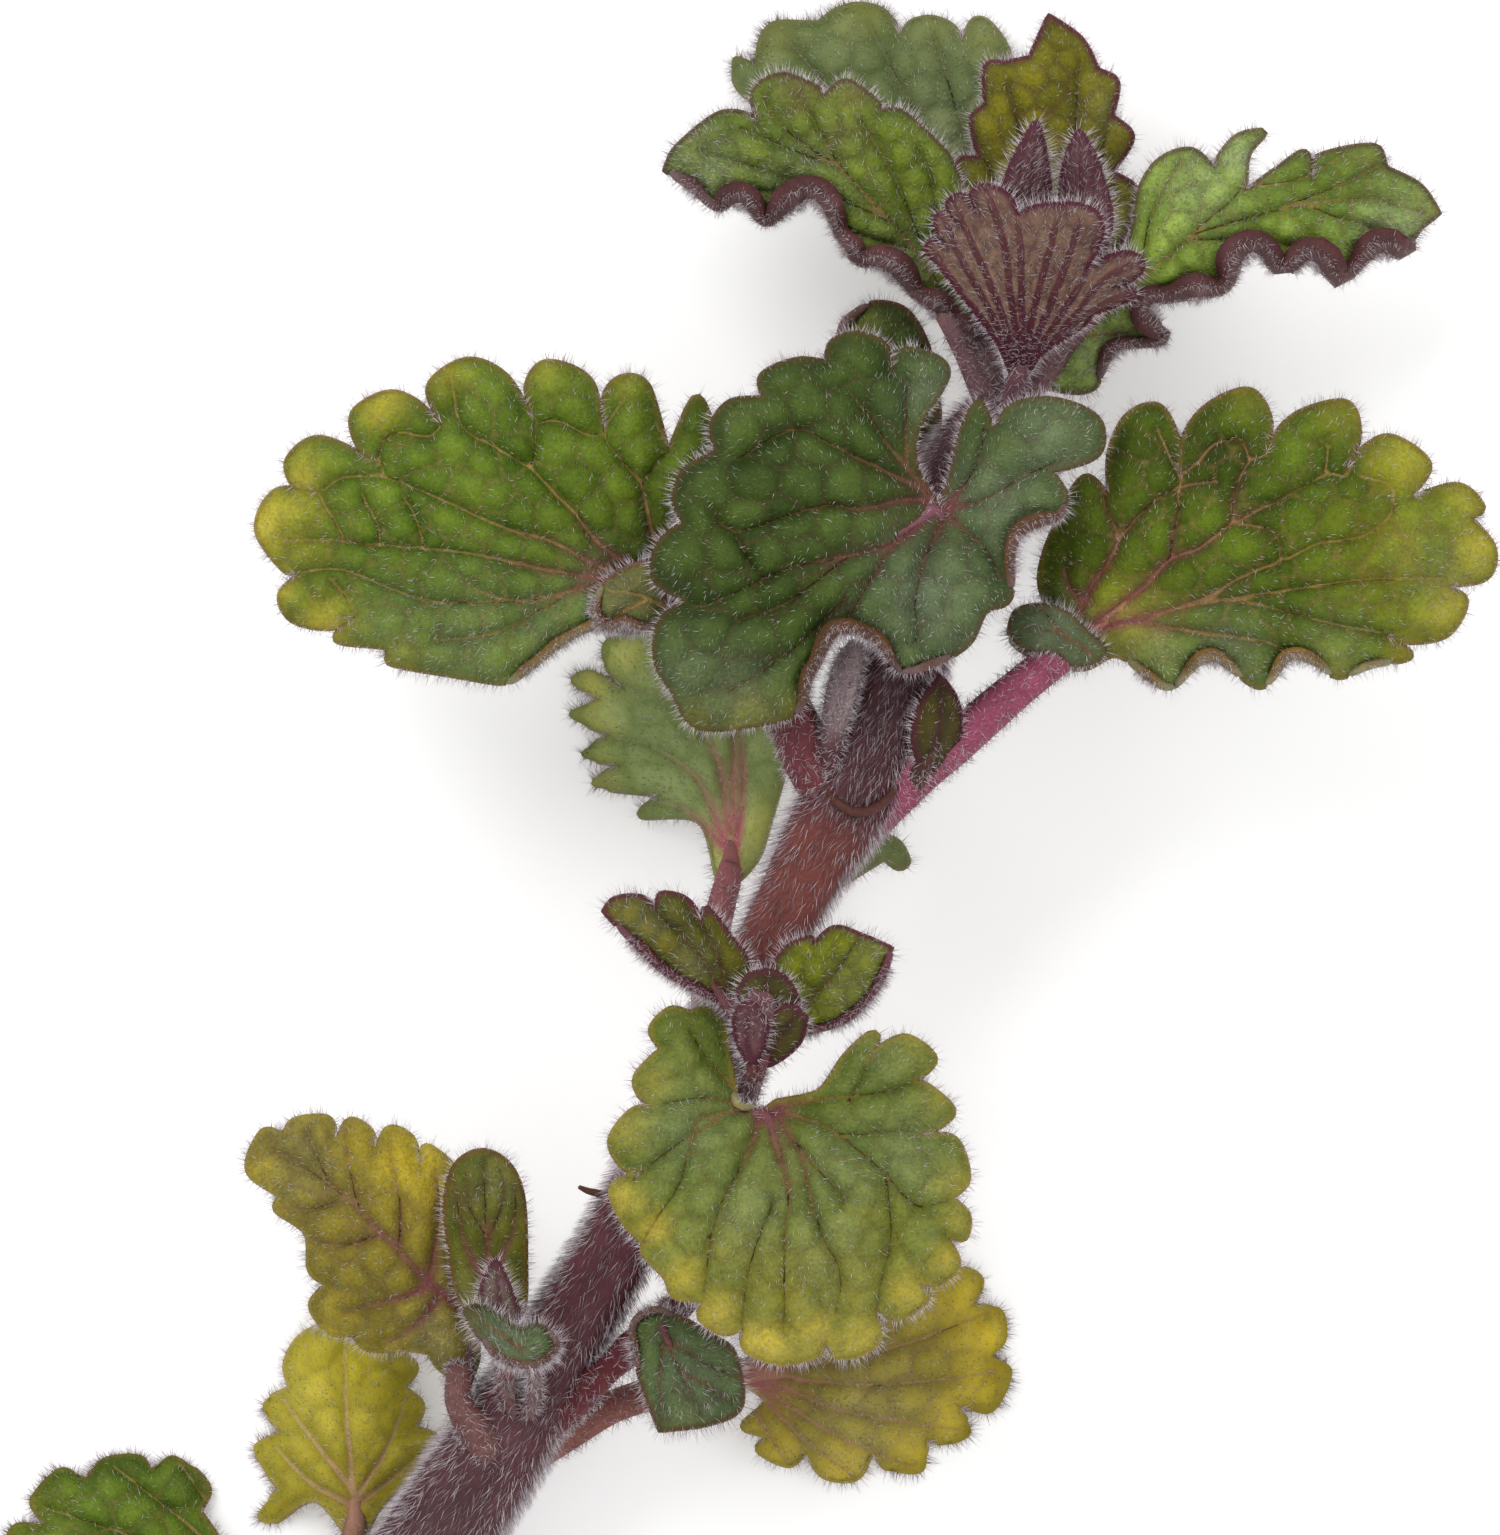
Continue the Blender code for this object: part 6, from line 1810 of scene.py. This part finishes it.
# the scar line where the stalks of the pair meet
cv, ct, *_ = tube_shell([(822, 780, 11.9, 3.5), (834, 799, 12.35, 4.5), (852, 811, 12.55, 5),
                         (870, 811, 12.5, 5), (888, 799, 12.25, 4.5), (900, 780, 11.8, 3.5)],
                        12, 0.0, 78, 4.0, 0.12)
ob = make_mesh("stem_scar", cv, ct, np.tile(srgb(88, 56, 50), (len(cv), 1)))
ob.data.materials.append(STEM_SKIN)
finish_piece(ob, "stem")
made_tris["stem_scar"] = len(ct)

# a stub of an old bud scale
pv, pt, *_ = tube_shell([(612, 1200, 8.6, 5), (600, 1194, 8.9, 4), (588, 1191, 9.0, 3.4), (579, 1187, 9.1, 2.2)],
                        10, 0.0, 77, 3.0, 0.15)
ob = make_mesh("stem_stub", pv, pt, np.tile(srgb(96, 66, 54), (len(pv), 1)))
ob.data.materials.append(STEM_SKIN)
finish_piece(ob, "stem")
made_tris["stem_stub"] = len(pt)

for k, (name, leaf) in enumerate(LEAVES.items()):
    grow_leaf(name, leaf, LOOKS[name], 101 + 13 * k)

BUD_LOOKS = {
    "axil_shoot": (BUD, "leaf_purple", 15, (0.25, 0.5), 0.10),
    "axil_bud_left": (dict(BUD, deep=srgb(146, 126, 128), light=srgb(172, 154, 156)), "leaf_purple",
                      9, (0.25, 0.45), 0.05),
    "axil_bud_right": (dict(BUD, deep=srgb(72, 48, 44), light=srgb(98, 68, 60)), "leaf_dark", 22,
                       (0.2, 0.4), 0.08),
    "side_shoot": (dict(BUD, deep=srgb(88, 40, 46), light=srgb(112, 56, 58)), "stem", 22, (0.3, 0.5), 0.06),
    "axil_bud_lower": (dict(BUD, deep=srgb(104, 84, 80), light=srgb(126, 104, 98)), "leaf_purple",
                       14, (0.25, 0.5), 0.10),
}
for k, (name, bud) in enumerate(BUDS.items()):
    c, slot, per, ln, ridge = BUD_LOOKS[name]
    rng = np.random.default_rng(900 + k)
    bv, bt, al, an, dirs, _ = tube_shell(FULLER.get(name) or ROOTS.get(name, []) + bud["axis"],
                                            20, 0.06, 50 + k, 3.5, ridge)
    tone = np.clip(0.5 + 0.5 * noise(bv / MM * 3.2, 1.0, 60 + k), 0, 1)
    tint = mix(c["deep"], c["light"], tone)
    if name == "axil_bud_left":
        tint = mix(srgb(92, 58, 62) * np.ones((len(bv), 1)), tint, blur_step(al, 0.30, 0.62))
    ob = make_mesh(name + "_skin", bv, bt, np.clip(tint, 0, 1))
    ob.data.materials.append(STEM_SKIN)
    finish_piece(ob, name)
    made_tris[name + "_skin"] = len(bt)
    woolly(name + "_down", bv, bt, rng, per, ln, name)

for k, (name, (node, leaf, look)) in enumerate(TINY.items()):
    grow_leaf(name, leaf, look, 1201 + 13 * k, node)

# ------------------------------------------------------------------ the studio
bm_floor = bpy.data.meshes.new("floor")
bm_floor.from_pydata([(-2, -2, 0), (2, -2, 0), (2, 2, 0), (-2, 2, 0)], [], [(0, 1, 2, 3)])
floor = bpy.data.objects.new("floor", bm_floor)
bpy.context.scene.collection.objects.link(floor)
floor_mat = bpy.data.materials.new("floor_white")
floor_mat.use_nodes = True
fb = floor_mat.node_tree.nodes["Principled BSDF"]
fb.inputs["Base Color"].default_value = (0.93, 0.93, 0.93, 1)
fb.inputs["Roughness"].default_value = 0.9
fb.inputs["Specular IOR Level"].default_value = 0.1
fb.inputs["Emission Color"].default_value = (1.0, 1.0, 1.0, 1)
fb.inputs["Emission Strength"].default_value = 0.20
bm_floor.materials.append(floor_mat)

world = bpy.data.worlds.new("studio")
world.use_nodes = True
bg = world.node_tree.nodes["Background"]
bg.inputs["Color"].default_value = (1.0, 1.0, 1.0, 1)
bg.inputs["Strength"].default_value = 0.86
bpy.context.scene.world = world


def soft_light(name, at, size, power):
    data = bpy.data.lights.new(name, "AREA")
    data.shape = "SQUARE"
    data.size = size
    data.energy = power
    ob = bpy.data.objects.new(name, data)
    ob.location = at
    ob.rotation_euler = (-Vector(at)).to_track_quat("-Z", "Y").to_euler()
    bpy.context.scene.collection.objects.link(ob)
    return ob


soft_light("key", (-0.30, 0.42, 0.62), 0.40, 2.5)
soft_light("fill", (0.45, -0.15, 0.60), 0.60, 1.0)
bpy.context.scene.view_settings.view_transform = "Standard"

print("triangles", sum(made_tris.values()), sorted(made_tris.items(), key=lambda kv: -kv[1])[:6])
